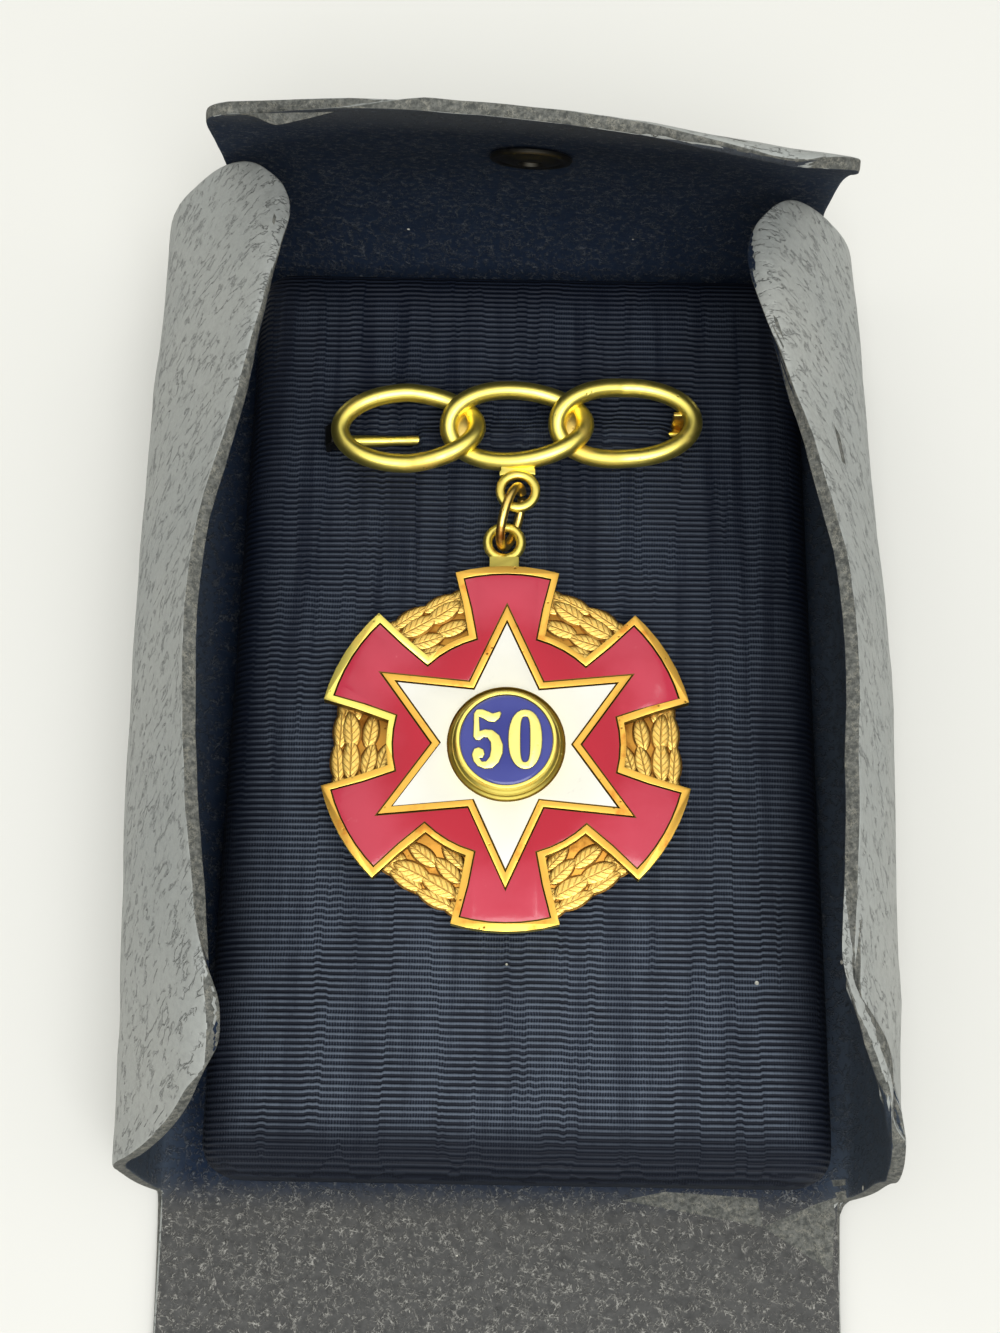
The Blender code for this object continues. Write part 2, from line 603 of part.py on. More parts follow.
def catch_mesh():
    """A hook that wraps the stem's free end, on a plate that rises to the last oval."""
    inner = STEM_RADIUS + CATCH_CLEARANCE
    outer = inner + CATCH_WALL
    turns = [math.radians(-200.0 + 25.0 * k) for k in range(9)]
    hook = [(outer * math.cos(a), outer * math.sin(a)) for a in turns]
    hook += [(outer, LINK_Z - STEM_Z), (inner, LINK_Z - STEM_Z)]
    hook += [(inner * math.cos(a), inner * math.sin(a)) for a in reversed(turns)]
    loops = [[(x, y, STEM_Z + z) for y, z in hook]
             for x in (CATCH_START, CATCH_START + CATCH_WIDTH)]
    return loft("catch", loops)


def link_bar(finish):
    """Three ovals soldered into one bar, with its loop, its hinge block and its catch."""
    links = [wire(f"link_{k + 1}", link_path(k), LINK_WIRE_RADIUS, 8) for k in range(LINK_COUNT)]
    bar = add_object("link_bar", links[0], finish, BAR_PLACE, BAR_TURN)
    loop = torus("bar_loop", (BAR_LOOP_SIDE, -BAR_LOOP_DROP, LINK_Z), BAR_LOOP_RADIUS,
                 BAR_LOOP_WIRE, 24, 8)
    solder_top = -LINK_HALF_WIDTH
    solder_foot = solder_top - LINK_WIRE_RADIUS - BAR_SOLDER_GAP - BAR_LOOP_WIRE
    solder = box("bar_solder",
                 (BAR_LOOP_SIDE - BAR_SOLDER_WIDTH / 2, solder_foot, LINK_Z - BAR_LOOP_WIRE),
                 (BAR_LOOP_SIDE + BAR_SOLDER_WIDTH / 2, solder_top, LINK_Z + BAR_LOOP_WIRE))
    hinge_end = STEM_START - REST_GAP
    hinge = box("hinge_block", (hinge_end - HINGE_WIDTH, -HINGE_LENGTH / 2, PAD_TOP + REST_GAP),
                (hinge_end, HINGE_LENGTH / 2, LINK_Z - LINK_WIRE_RADIUS / 3))
    combine(bar, links[1:] + [loop, solder, hinge, catch_mesh()], "UNION")


def pin_stem(finish):
    """The straight stem, with a stout root at its hinge and a point in its catch."""
    length = STEM_END - STEM_START
    profile = ((0.0, STEM_ROOT_RADIUS), (0.02, STEM_ROOT_RADIUS), (0.05, STEM_RADIUS),
               (0.93, STEM_RADIUS), (0.98, 0.6 * STEM_RADIUS), (1.0, 0.25 * STEM_RADIUS))
    loops = [[(STEM_START + share * length, x, STEM_Z + y) for x, y in circle(radius, 10)]
             for share, radius in profile]
    add_object("pin_stem", loft("pin_stem", loops), finish, BAR_PLACE, BAR_TURN)


def jump_ring(finish):
    """An open ring through both loops, leaning a little, with its cut on the lower side."""
    middle = (BAR_LOOP_PLACE + MEDAL_LOOP_PLACE) / 2
    along = BAR_LOOP_PLACE - MEDAL_LOOP_PLACE
    half_length = along.length / 2 + RING_SLACK
    along.normalize()
    sideways = along.cross(Vector((0, 0, 1))).normalized()
    upward = Matrix.Rotation(-RING_LEAN, 3, along) @ sideways.cross(along)
    cut_turn = math.radians(-40.0)
    half_cut = RING_CUT / (2 * RING_HALF_WIDTH)
    steps = 30
    path = []
    for k in range(steps + 1):
        turn = cut_turn + half_cut + (math.tau - 2 * half_cut) * k / steps
        path.append(middle + half_length * math.cos(turn) * along
                    + RING_HALF_WIDTH * math.sin(turn) * upward)
    add_object("jump_ring", wire("jump_ring", path, RING_WIRE_RADIUS, 8, cyclic=False), finish)


def medal_outline(half_arm):
    """Repeat half an arm, as radius and angle pairs from its middle to the notch, all round."""
    turns = [(radius, -angle) for radius, angle in reversed(half_arm[1:])]
    turns += half_arm[:-1]
    outline = []
    for arm in range(ARM_COUNT):
        middle = math.pi / 2 + math.tau * arm / ARM_COUNT
        for radius, angle in turns:
            outline.append((radius * math.cos(middle + angle), radius * math.sin(middle + angle)))
    return outline


def half_arm(inset, notch_inset):
    """Half an arm's outline, drawn in by a border: its end, its side and the notch's floor."""
    end = MEDAL_RADIUS - inset
    notch = NOTCH_RADIUS - notch_inset
    end_half, root_half = ARM_END_HALF_WIDTH - inset, ARM_ROOT_HALF_WIDTH - inset
    end_angle, root_angle = math.asin(end_half / end), math.asin(root_half / notch)
    points = [(end, end_angle * share) for share in (0.0, 0.35, 0.7, 1.0)]
    waist_reach = (end * math.cos(end_angle) + notch * math.cos(root_angle)) / 2
    waist_half = (end_half + root_half) / 2 - ARM_WAIST
    points.append((math.hypot(waist_reach, waist_half), math.atan2(waist_half, waist_reach)))
    notch_angle = math.pi / ARM_COUNT
    points += [(notch, root_angle + (notch_angle - root_angle) * share) for share in (0.0, 0.5, 1.0)]
    return points


def star_edge():
    """The star's tip and the notch beside it, on the plane."""
    notch_angle = math.pi / ARM_COUNT
    tip = Vector((STAR_TIP_RADIUS, 0.0))
    notch = STAR_NOTCH_RADIUS * Vector((math.cos(notch_angle), math.sin(notch_angle)))
    return tip, notch


def half_star(inset):
    """Half a point of the star, drawn in by a border, as radius and angle pairs."""
    tip, notch = star_edge()
    edge = (notch - tip).normalized()
    tip_angle = math.atan2(edge.y, -edge.x)
    notch_opening = math.pi / ARM_COUNT + tip_angle
    tip = tip - Vector((inset / math.sin(tip_angle), 0.0))
    notch = notch * (1.0 - inset / math.sin(notch_opening) / notch.length)
    places = [tip.lerp(notch, share) for share in (0.0, 0.12, 0.25, 0.4, 0.55, 0.7, 0.85, 1.0)]
    return [(place.length, math.atan2(place.y, place.x)) for place in places]


def medal_cross(finish):
    """The cross-shaped plate with its raised borders, star and loop."""
    rim = medal_outline(half_arm(0.0, 0.0))
    field = medal_outline(half_arm(BORDER_WIDTH, NOTCH_BORDER_WIDTH))
    star, star_field = medal_outline(half_star(0.0)), medal_outline(half_star(STAR_BORDER_WIDTH))
    loops = [at_height(rim, CROSS_BACK_Z), at_height(rim, CROSS_TOP_Z),
             at_height(field, CROSS_TOP_Z), at_height(field, CROSS_FLOOR_Z),
             at_height(star, CROSS_FLOOR_Z), at_height(star, CROSS_TOP_Z),
             at_height(star_field, CROSS_TOP_Z), at_height(star_field, CROSS_FLOOR_Z)]
    cross = add_object("medal_cross", loft("medal_cross", loops), finish, MEDAL_PLACE, MEDAL_TURN)
    loop = torus("medal_loop", (MEDAL_LOOP_SIDE, MEDAL_LOOP_REACH, MEDAL_LOOP_Z),
                 MEDAL_LOOP_RADIUS, MEDAL_LOOP_WIRE, 24, 8)
    collar = box("medal_collar", (MEDAL_LOOP_SIDE - COLLAR_WIDTH / 2,
                                  MEDAL_RADIUS - BORDER_WIDTH / 2, CROSS_BACK_Z + REST_GAP),
                 (MEDAL_LOOP_SIDE + COLLAR_WIDTH / 2,
                  MEDAL_RADIUS + COLLAR_HEIGHT + MEDAL_LOOP_WIRE, CROSS_TOP_Z - REST_GAP))
    combine(cross, [loop, collar], "UNION")


def enamel_ring(name, outer, inner, finish):
    """A flat field of enamel between two outlines."""
    low, high = CROSS_FLOOR_Z + ENAMEL_GAP, ENAMEL_TOP_Z
    loops = [at_height(outer, low), at_height(outer, high), at_height(inner, high),
             at_height(inner, low)]
    add_object(name, loft(name, loops, closed=True), finish, MEDAL_PLACE, MEDAL_TURN)


def enamels(red, white):
    red_outer = half_arm(BORDER_WIDTH + ENAMEL_GAP, NOTCH_BORDER_WIDTH + ENAMEL_GAP)
    enamel_ring("red_enamel", medal_outline(red_outer), medal_outline(half_star(-ENAMEL_GAP)), red)
    white_outer = half_star(STAR_BORDER_WIDTH + ENAMEL_GAP)
    white_inner = [(BOSS_FOOT_RADIUS + ENAMEL_GAP, angle) for _, angle in white_outer]
    enamel_ring("white_enamel", medal_outline(white_outer), medal_outline(white_inner), white)


def leaf_mesh(name, middle, side, row):
    """One leaf: a lens-shaped outline that rises from the plate to a rib down its middle."""
    along, out, turn_out, length, width = row
    length, width = length * LEAF_LENGTH, width * LEAF_WIDTH
    start_angle = middle + side * along * LEAF_LENGTH / LEAF_LINE_RADIUS
    radial = Vector((math.cos(start_angle), math.sin(start_angle)))
    tangent = side * Vector((-radial.y, radial.x))
    turn = math.radians(turn_out)
    forward = math.cos(turn) * tangent + math.sin(turn) * radial
    outward = math.cos(turn) * radial - math.sin(turn) * tangent
    stalk = (LEAF_LINE_RADIUS + out * LEAF_LENGTH) * radial
    curve = side * length / LEAF_LINE_RADIUS / 2

    def place(share, half, z):
        bend = share * share * curve * side * length
        point = stalk + forward * share * length + outward * (half * width - bend)
        return (point.x, point.y, z)

    right = list(LEAF_OUTLINE)
    outline = [(share, half) for share, half in right]
    outline += [(share, -half) for share, half in reversed(right[1:-1])]
    top = WREATH_BACK_Z + WREATH_THICKNESS
    sunk = WREATH_BACK_Z + WREATH_THICKNESS / 2
    loops = [[place(share, half, sunk) for share, half in outline],
             [place(share, half, top + LEAF_EDGE_HEIGHT) for share, half in outline],
             [place(0.12 + 0.7 * share, 0.18 * half, top + LEAF_RELIEF) for share, half in outline]]
    return loft(name, loops)


def medal_wreath(finish):
    """A round plate with leaves in the gaps between the arms, all pointing up the medal."""
    profile = ((WREATH_OUTER_RADIUS, WREATH_BACK_Z),
               (WREATH_OUTER_RADIUS, WREATH_BACK_Z + WREATH_THICKNESS))
    plate = turned("medal_wreath", profile, 48)
    wreath = add_object("medal_wreath", plate, finish, MEDAL_PLACE, MEDAL_TURN)
    leaves = []
    for gap in range(ARM_COUNT):
        middle = math.tau * gap / ARM_COUNT
        side = 1 if math.cos(middle) > 0 else -1
        for k, row in enumerate(WREATH_LEAVES):
            leaves.append(leaf_mesh(f"leaf_{gap}_{k}", middle, side, row))
    combine(wreath, leaves, "UNION")


def centre_boss(gold, blue):
    """The stepped boss, its recess filled with enamel."""
    step_z = BOSS_FOOT_Z + BOSS_FOOT_HEIGHT
    bevel = BOSS_FOOT_RADIUS - BOSS_STEP_RADIUS
    rim = BOSS_RADIUS - BOSS_RIM_WIDTH
    profile = ((BOSS_FOOT_RADIUS, BOSS_FOOT_Z), (BOSS_FOOT_RADIUS, step_z - bevel),
               (BOSS_STEP_RADIUS, step_z), (BOSS_STEP_RADIUS, step_z + bevel),
               (BOSS_RADIUS, step_z + 2 * bevel), (BOSS_RADIUS, BOSS_TOP_Z), (rim, BOSS_TOP_Z),
               (rim, BOSS_TOP_Z - BOSS_RECESS))
    add_object("centre_boss", turned("centre_boss", profile, 32), gold, MEDAL_PLACE, MEDAL_TURN)
    low = BOSS_TOP_Z - BOSS_RECESS + ENAMEL_GAP
    shoulder = (BLUE_RADIUS, BLUE_TOP_Z - ENAMEL_BELOW_RIM)
    fill = ((BLUE_RADIUS, low), shoulder, (BLUE_RADIUS * 0.94, BLUE_TOP_Z))
    add_object("blue_enamel", turned("blue_enamel", fill, 32), blue, MEDAL_PLACE, MEDAL_TURN)


def numerals(finish):
    """The raised figures five and zero on the blue disc."""
    low = BLUE_TOP_Z + ENAMEL_GAP
    high = low + NUMERAL_RELIEF
    turn = Matrix.Rotation(MEDAL_TURN, 3, "Z")
    five = [(x * FIVE_WIDTH, y * NUMERAL_HEIGHT) for x, y in FIVE_OUTLINE]
    five_place = MEDAL_PLACE + turn @ Vector((-NUMERAL_SPACING / 2, 0.0, 0.0))
    add_object("numeral_five", prism("numeral_five", five, low, high), finish, five_place, MEDAL_TURN)

    def oval(half_width, half_height, squareness):
        points = []
        for x, y in circle(1.0, 28):
            points.append((half_width * math.copysign(abs(x) ** squareness, x),
                           half_height * math.copysign(abs(y) ** squareness, y)))
        return points

    outer = oval(ZERO_WIDTH / 2, NUMERAL_HEIGHT / 2, 0.9)
    inner = oval(ZERO_WIDTH / 2 - ZERO_STROKE, NUMERAL_HEIGHT / 2 - ZERO_CROWN, 0.65)
    loops = [at_height(outer, low), at_height(outer, high), at_height(inner, high),
             at_height(inner, low)]
    zero_place = MEDAL_PLACE + turn @ Vector((NUMERAL_SPACING / 2, 0.0, 0.0))
    zero = loft("numeral_zero", loops, closed=True)
    add_object("numeral_zero", zero, finish, zero_place, MEDAL_TURN)


def build():
    clear_scene()
    gilt = material("gilt", (0.86, 0.62, 0.16), 0.25, 1.0)
    matte_gilt = material("matte_gilt", (0.72, 0.47, 0.16), 0.5, 1.0)
    aged_brass = material("aged_brass", (0.30, 0.20, 0.10), 0.45, 1.0)
    leatherette = material("leatherette", (0.20, 0.21, 0.22), 0.6)
    moire_cloth = material("moire_cloth", (0.02, 0.025, 0.05), 0.5)
    red = material("red_enamel", (0.55, 0.03, 0.06), 0.1)
    white = material("white_enamel", (0.85, 0.84, 0.80), 0.1)
    blue = material("blue_enamel", (0.05, 0.06, 0.35), 0.1)
    case_sheet(leatherette)
    press_socket(aged_brass)
    press_stud(aged_brass)
    padded_board(moire_cloth)
    link_bar(gilt)
    pin_stem(gilt)
    jump_ring(gilt)
    medal_wreath(matte_gilt)
    medal_cross(gilt)
    enamels(red, white)
    centre_boss(gilt, blue)
    numerals(gilt)


build()
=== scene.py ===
# %% [markdown]
# A lapel pin in a folding presentation case.
# The pin is a bar of three woven ovals with a round enamelled drop. It is pinned to a padded
# board of ribbed cloth, and the board lies in a case that is one bent sheet of grained
# leatherette with a dark lining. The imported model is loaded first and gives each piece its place.

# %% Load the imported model
import math
import bpy
from mathutils import Matrix, Vector


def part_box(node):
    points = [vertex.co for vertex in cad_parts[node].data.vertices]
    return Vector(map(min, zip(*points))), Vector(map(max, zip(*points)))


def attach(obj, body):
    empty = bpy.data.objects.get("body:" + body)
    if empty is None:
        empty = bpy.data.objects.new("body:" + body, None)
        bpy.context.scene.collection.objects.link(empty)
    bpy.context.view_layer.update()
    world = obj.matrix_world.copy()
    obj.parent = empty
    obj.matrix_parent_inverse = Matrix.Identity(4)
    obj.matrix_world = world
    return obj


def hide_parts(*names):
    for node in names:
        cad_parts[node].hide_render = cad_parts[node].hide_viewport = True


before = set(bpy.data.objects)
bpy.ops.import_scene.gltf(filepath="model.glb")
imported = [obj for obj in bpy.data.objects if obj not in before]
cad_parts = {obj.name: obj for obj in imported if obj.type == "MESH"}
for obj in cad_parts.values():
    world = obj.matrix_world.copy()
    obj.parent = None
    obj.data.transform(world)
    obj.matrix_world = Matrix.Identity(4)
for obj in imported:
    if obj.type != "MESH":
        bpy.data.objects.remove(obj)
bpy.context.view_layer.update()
MM = 0.001

# %% [markdown]
# Every place on the bar is given along the bar and across it, and every place on the medal from
# its centre. Two matrices turn such places into places in the case, so the slight turn of the
# bar and of the medal is written once.

# %% Places of the bar and the medal
BAR_MIDDLE = (0.4, 25.1, 0.0)
MEDAL_MIDDLE = (-0.121, -5.665, 0.0)
BAR = Matrix.Translation(Vector(BAR_MIDDLE) * MM) @ Matrix.Rotation(math.radians(2.5), 4, "Z")
MEDAL = Matrix.Translation(Vector(MEDAL_MIDDLE) * MM) @ Matrix.Rotation(math.radians(0.5), 4, "Z")
PAD_TOP = 9.85
STEM_HEIGHT = 10.0
LINK_HEIGHT = 12.9
PLATE_TOP = 10.55
BAR_LOOP = Vector((0.59, 18.452, 12.9)) * MM
MEDAL_LOOP = Vector((-0.591, 13.851, 11.4)) * MM
print("bar loop and medal loop are", round((BAR_LOOP - MEDAL_LOOP).length / MM, 2), "mm apart")


# %% [markdown]
# The operators act on all that is selected, so each step starts with nothing selected. These
# helpers take one piece in hand, move its points or apply a modifier, and put the finished piece
# at rest: its place goes into its mesh and it rides on the case.

# %% Helpers to take a piece in hand
def lay_down_all():
    if bpy.context.object and bpy.context.object.mode != "OBJECT":
        bpy.ops.object.mode_set(mode="OBJECT")
    bpy.ops.object.select_all(action="DESELECT")


def take(piece):
    lay_down_all()
    piece.select_set(True)
    bpy.context.view_layer.objects.active = piece


def open_up(piece):
    take(piece)
    bpy.ops.object.mode_set(mode="EDIT")
    bpy.ops.mesh.select_all(action="SELECT")


def shape_points(piece, move):
    for vertex in piece.data.vertices:
        vertex.co = move(vertex.co)
    piece.data.update()


def use(piece, kind, **settings):
    step = piece.modifiers.new(kind.lower(), kind)
    for label, value in settings.items():
        setattr(step, label, value)
    take(piece)
    bpy.ops.object.modifier_apply(modifier=step.name)


def soften(piece, width, angle=50, segments=2):
    use(piece, "BEVEL", width=width * MM, segments=segments, limit_method="ANGLE",
        angle_limit=math.radians(angle), use_clamp_overlap=True)


def smooth(piece, angle=40):
    take(piece)
    bpy.ops.object.shade_smooth_by_angle(angle=math.radians(angle))


def seat(piece, place=None):
    take(piece)
    bpy.ops.object.transform_apply(location=True, rotation=True, scale=True)
    if place is not None:
        piece.matrix_world = place
        bpy.ops.object.transform_apply(location=True, rotation=True, scale=True)
    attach(piece, "root")
    faces = len(piece.data.polygons)
    print("made", piece.name, "with", faces, "faces")


# %% [markdown]
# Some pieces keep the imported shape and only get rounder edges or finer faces. A copy of the
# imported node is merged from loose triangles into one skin, and flat parts become single faces,
# so that a bevel runs cleanly along the real edges.

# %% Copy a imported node
def copied(node, name, flat=True):
    take(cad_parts[node])
    bpy.ops.object.duplicate()
    piece = bpy.context.object
    piece.name = name
    open_up(piece)
    bpy.ops.mesh.remove_doubles(threshold=0.004 * MM)
    if flat:
        bpy.ops.mesh.dissolve_limited(angle_limit=math.radians(1.0))
    lay_down_all()
    piece.data.materials.clear()
    return piece


# %% [markdown]
# Turned and bent pieces start from a line of points. Round pieces such as the boss, the press
# fastener's two halves and the bar's ring are turned, as on a lathe: half of the section is
# drawn as such a line and spun once round the axis.

# %% Draw a line and turn a piece from its section
def drawn_line(name, points):
    """Draws the line vertex by vertex and leaves it selected, open for the next step."""
    lay_down_all()
    bpy.ops.mesh.primitive_plane_add(size=MM)
    piece = bpy.context.object
    piece.name = name
    open_up(piece)
    bpy.ops.mesh.select_mode(type="VERT")
    bpy.ops.mesh.select_all(action="SELECT")
    bpy.ops.mesh.merge(type="CENTER")
    at = Vector((0, 0, 0))
    for count, point in enumerate(points):
        to = Vector(point) * MM
        if count:
            bpy.ops.mesh.extrude_vertices_move(TRANSFORM_OT_translate={"value": to - at})
        else:
            bpy.ops.transform.translate(value=to)
        at = to
    bpy.ops.mesh.select_all(action="SELECT")
    return piece


def turned(name, section, steps=72):
    piece = drawn_line(name, [(radius, 0, height) for radius, height in section])
    bpy.ops.mesh.spin(steps=steps, angle=math.tau, center=(0, 0, 0), axis=(0, 0, 1))
    bpy.ops.mesh.select_all(action="SELECT")
    bpy.ops.mesh.remove_doubles(threshold=0.001 * MM)
    bpy.ops.mesh.normals_make_consistent(inside=False)
    lay_down_all()
    return piece


# %% [markdown]
# Wires are drawn as curves: a circle is cut into as many points as the path has, each point is
# moved to its place, and the round thickness comes from the curve's bevel. The curve is then
# made a mesh.

# %% Bend a wire along a path
STEPS_BETWEEN_POINTS = 4


def bent_wire(name, path, radius, closed=True, sizes=None, roundness=5):
    lay_down_all()
    bpy.ops.curve.primitive_bezier_circle_add(radius=MM)
    wire = bpy.context.object
    wire.name = name
    bpy.ops.object.mode_set(mode="EDIT")
    bpy.ops.curve.select_all(action="SELECT")
    bpy.ops.curve.subdivide(number_cuts=math.ceil(len(path) / 4) - 1)
    points = wire.data.splines[0].bezier_points
    while len(points) > len(path):
        bpy.ops.curve.select_all(action="DESELECT")
        points[-1].select_control_point = True
        bpy.ops.curve.dissolve_verts()
        points = wire.data.splines[0].bezier_points
    if not closed:
        bpy.ops.curve.select_all(action="SELECT")
        bpy.ops.curve.cyclic_toggle()
        points = wire.data.splines[0].bezier_points
    for count, (point, place) in enumerate(zip(points, path)):
        point.co = Vector(place) * MM
        point.radius = sizes[count] if sizes else 1.0
    bpy.ops.curve.select_all(action="SELECT")
    bpy.ops.curve.handle_type_set(type="AUTOMATIC")
    bpy.ops.object.mode_set(mode="OBJECT")
    wire.data.dimensions = "3D"
    wire.data.bevel_depth = radius * MM
    wire.data.bevel_resolution = roundness
    wire.data.resolution_u = STEPS_BETWEEN_POINTS
    wire.data.use_fill_caps = not closed
    take(wire)
    bpy.ops.object.convert(target="MESH")
    wire = bpy.context.object
    open_up(wire)
    bpy.ops.mesh.remove_doubles(threshold=0.001 * MM)
    bpy.ops.mesh.normals_make_consistent(inside=False)
    lay_down_all()
    return wire


# %% [markdown]
# Materials are trees of nodes. One helper adds a node and wires it, another writes a sum, and a
# third starts a node group, because grain, dust and pits are used by several finishes.

# %% Helpers to build node trees
def node(tree, kind, wires=(), **settings):
    made = tree.nodes.new("ShaderNode" + kind)
    for label, value in settings.items():
        setattr(made, label, value)
    for socket, value in dict(wires).items():
        if isinstance(value, bpy.types.NodeSocket):
            tree.links.new(value, made.inputs[socket])
        else:
            made.inputs[socket].default_value = value
    return made


def calc(tree, operation, *values):
    return node(tree, "Math", dict(enumerate(values)), operation=operation).outputs[0]


def band(tree, value, low, high):
    """Rises softly from 0 to 1 between two values, or falls where low is the larger one."""
    made = node(tree, "MapRange", {"Value": value, "From Min": low, "From Max": high},
                interpolation_type="SMOOTHSTEP")
    return made.outputs["Result"]


def blend(tree, share, first, second):
    made = node(tree, "Mix", {0: share, 6: first, 7: second}, data_type="RGBA")
    return made.outputs[2]


def noise(tree, place, scale, detail=2.0, rough=0.5):
    made = node(tree, "TexNoise", {"Vector": place, "Scale": scale, "Detail": detail,
                                   "Roughness": rough})
    return made.outputs["Fac"]


def stretched(tree, place, size=(1, 1, 1), turn=(0, 0, 0), centre=(0, 0, 0)):
    """Makes a pattern longer along its own axes, which are turned and centred first."""
    made = node(tree, "Mapping", {"Vector": place, "Scale": size,
                                  "Rotation": [math.radians(a) for a in turn],
                                  "Location": [a * MM for a in centre]}, vector_type="TEXTURE")
    return made.outputs["Vector"]


def srgb(red, green, blue):
    def linear(part):
        part = part / 255
        return part / 12.92 if part <= 0.04045 else ((part + 0.055) / 1.055) ** 2.4
    return (linear(red), linear(green), linear(blue), 1.0)


def effect(name, inputs, outputs):
    group = bpy.data.node_groups.new(name, "ShaderNodeTree")
    for label, value in inputs.items():
        kind = "NodeSocketVector" if value is None else "NodeSocketFloat"
        socket = group.interface.new_socket(name=label, in_out="INPUT", socket_type=kind)
        if value is not None:
            socket.default_value = value
    for label in outputs:
        group.interface.new_socket(name=label, in_out="OUTPUT", socket_type="NodeSocketFloat")
    return group, group.nodes.new("NodeGroupInput").outputs, group.nodes.new("NodeGroupOutput")


def give(group, end, **values):
    for label, value in values.items():
        group.links.new(value, end.inputs[label])
    print("effect", group.name, "has", len(group.nodes), "nodes")


def place_effect(tree, group, **values):
    made = tree.nodes.new("ShaderNodeGroup")
    made.node_tree = group
    for label, value in values.items():
        if isinstance(value, bpy.types.NodeSocket):
            tree.links.new(value, made.inputs[label])
        else:
            made.inputs[label].default_value = value
    return made.outputs


# %% [markdown]
# Leatherette is embossed with short slanting creases on a nearly smooth skin. Where a stretched
# noise crosses its middle value it draws long thin lines, and a second noise breaks them into
# short strokes. The lines run up the standing flaps at a slant, so the pattern is turned about
# the axis across the case.

# %% Effect: leather grain
grain, given, end = effect("leather grain", {"Place": None, "Creases": 850.0},
                           ("Height", "Crease"))
slant = stretched(grain, given["Place"], size=(1.6, 1.0, 3.2), turn=(-34, 0, 0))
line = noise(grain, slant, given["Creases"], 3.0, 0.6)
line = calc(grain, "ABSOLUTE", calc(grain, "SUBTRACT", line, 0.5))
broken = band(grain, noise(grain, given["Place"], 620.0, 3.0, 0.6), 0.42, 0.6)
crease = calc(grain, "MULTIPLY", band(grain, line, 0.04, 0.0), broken)
pebble = noise(grain, given["Place"], 2600.0, 2.0, 0.6)
swell = noise(grain, slant, 420.0, 2.0, 0.5)
height = calc(grain, "MULTIPLY_ADD", pebble, 0.16, calc(grain, "MULTIPLY", swell, 1.0))
give(grain, end, Crease=crease, Height=calc(grain, "MULTIPLY_ADD", crease, -0.7, height))

# %% [markdown]
# Felt and the rough side of the sheet show short fibres that lie in all directions. Two noises
# stretched along different lines are folded into thin threads and added.

# %% Effect: short fibres
fibres, given, end = effect("short fibres", {"Place": None, "Fineness": 1.0},
                            ("Height", "Thread"))
threads = None
for turn in (18, 75, 140):
    line = stretched(fibres, given["Place"], size=(1.0, 5.0, 2.0), turn=(0, 0, turn))
    value = noise(fibres, line, calc(fibres, "MULTIPLY", given["Fineness"], 2600.0), 2.0, 0.6)
    ridge = calc(fibres, "ABSOLUTE", calc(fibres, "SUBTRACT", value, 0.5))
    thread = band(fibres, ridge, 0.035, 0.0)
    threads = thread if threads is None else calc(fibres, "MAXIMUM", threads, thread)
patch = noise(fibres, given["Place"], 1500.0, 4.0, 0.6)
lit = calc(fibres, "MULTIPLY", threads, band(fibres, patch, 0.42, 0.62))
give(fibres, end, Height=lit, Thread=lit)

# %% [markdown]
# Lint settles on dark cloth as a few pale dots. Cells with a tiny core give the dots, and each
# cell's own random colour decides whether it has one.

# %% Effect: lint
lint, given, end = effect("lint", {"Place": None, "Spacing": 260.0, "Share": 0.25}, ("Dot",))
spots = node(lint, "TexVoronoi", {"Vector": given["Place"], "Scale": given["Spacing"]})
chance = node(lint, "SeparateColor", {"Color": spots.outputs["Color"]})
wanted = calc(lint, "LESS_THAN", chance.outputs["Red"], given["Share"])
size = calc(lint, "MULTIPLY_ADD", chance.outputs["Green"], 0.05, 0.02)
near = calc(lint, "LESS_THAN", spots.outputs["Distance"], size)
give(lint, end, Dot=calc(lint, "MULTIPLY", near, wanted))

# %% [markdown]
# Gilt that has been worn shows small pits and orange-brown patches where the layer is thin.

# %% Effect: pits and tarnish
worn, given, end = effect("pits and tarnish", {"Place": None, "Pits": 0.5},
                          ("Pit", "Tarnish", "Height"))
dots = node(worn, "TexVoronoi", {"Vector": given["Place"], "Scale": 1500.0})
core = band(worn, dots.outputs["Distance"], 0.22, 0.08)
some = band(worn, noise(worn, given["Place"], 420.0, 3.0), 0.5, 0.62)
pit = calc(worn, "MULTIPLY", calc(worn, "MULTIPLY", core, some), given["Pits"])
cloud = noise(worn, given["Place"], 330.0, 5.0, 0.62)
give(worn, end, Pit=pit, Tarnish=band(worn, cloud, 0.52, 0.7),
     Height=calc(worn, "MULTIPLY_ADD", pit, -1.0, calc(worn, "MULTIPLY", cloud, 0.35)))

# %% [markdown]
# Ribbed cloth has a thick thread across the board every half millimetre. Pressed in a moire
# calender, the ribs shift by half their pitch in columns, which is the watermark. The ribs are a
# sine of the place along the board, moved by a noise that changes quickly across it.

# %% Effect: ribs with a watermark
ribs, given, end = effect("ribs with a watermark", {"Place": None, "Pitch": 0.55},
                          ("Height", "Rib", "Yarn"))
axes = node(ribs, "SeparateXYZ", {"Vector": given["Place"]})
column_place = stretched(ribs, given["Place"], size=(1.0, 14.0, 1.0))
column = band(ribs, noise(ribs, column_place, 380.0, 2.0), 0.47, 0.53)
drift = noise(ribs, stretched(ribs, given["Place"], size=(1.6, 1.0, 1.0)), 70.0, 1.0)
rate = calc(ribs, "DIVIDE", math.tau / MM, given["Pitch"])
phase = calc(ribs, "MULTIPLY", axes.outputs["Y"], rate)
phase = calc(ribs, "MULTIPLY_ADD", column, 0.45 * math.pi, phase)
phase = calc(ribs, "MULTIPLY_ADD", drift, 4.0, phase)
wave = calc(ribs, "MULTIPLY_ADD", calc(ribs, "SINE", phase), 0.5, 0.5)
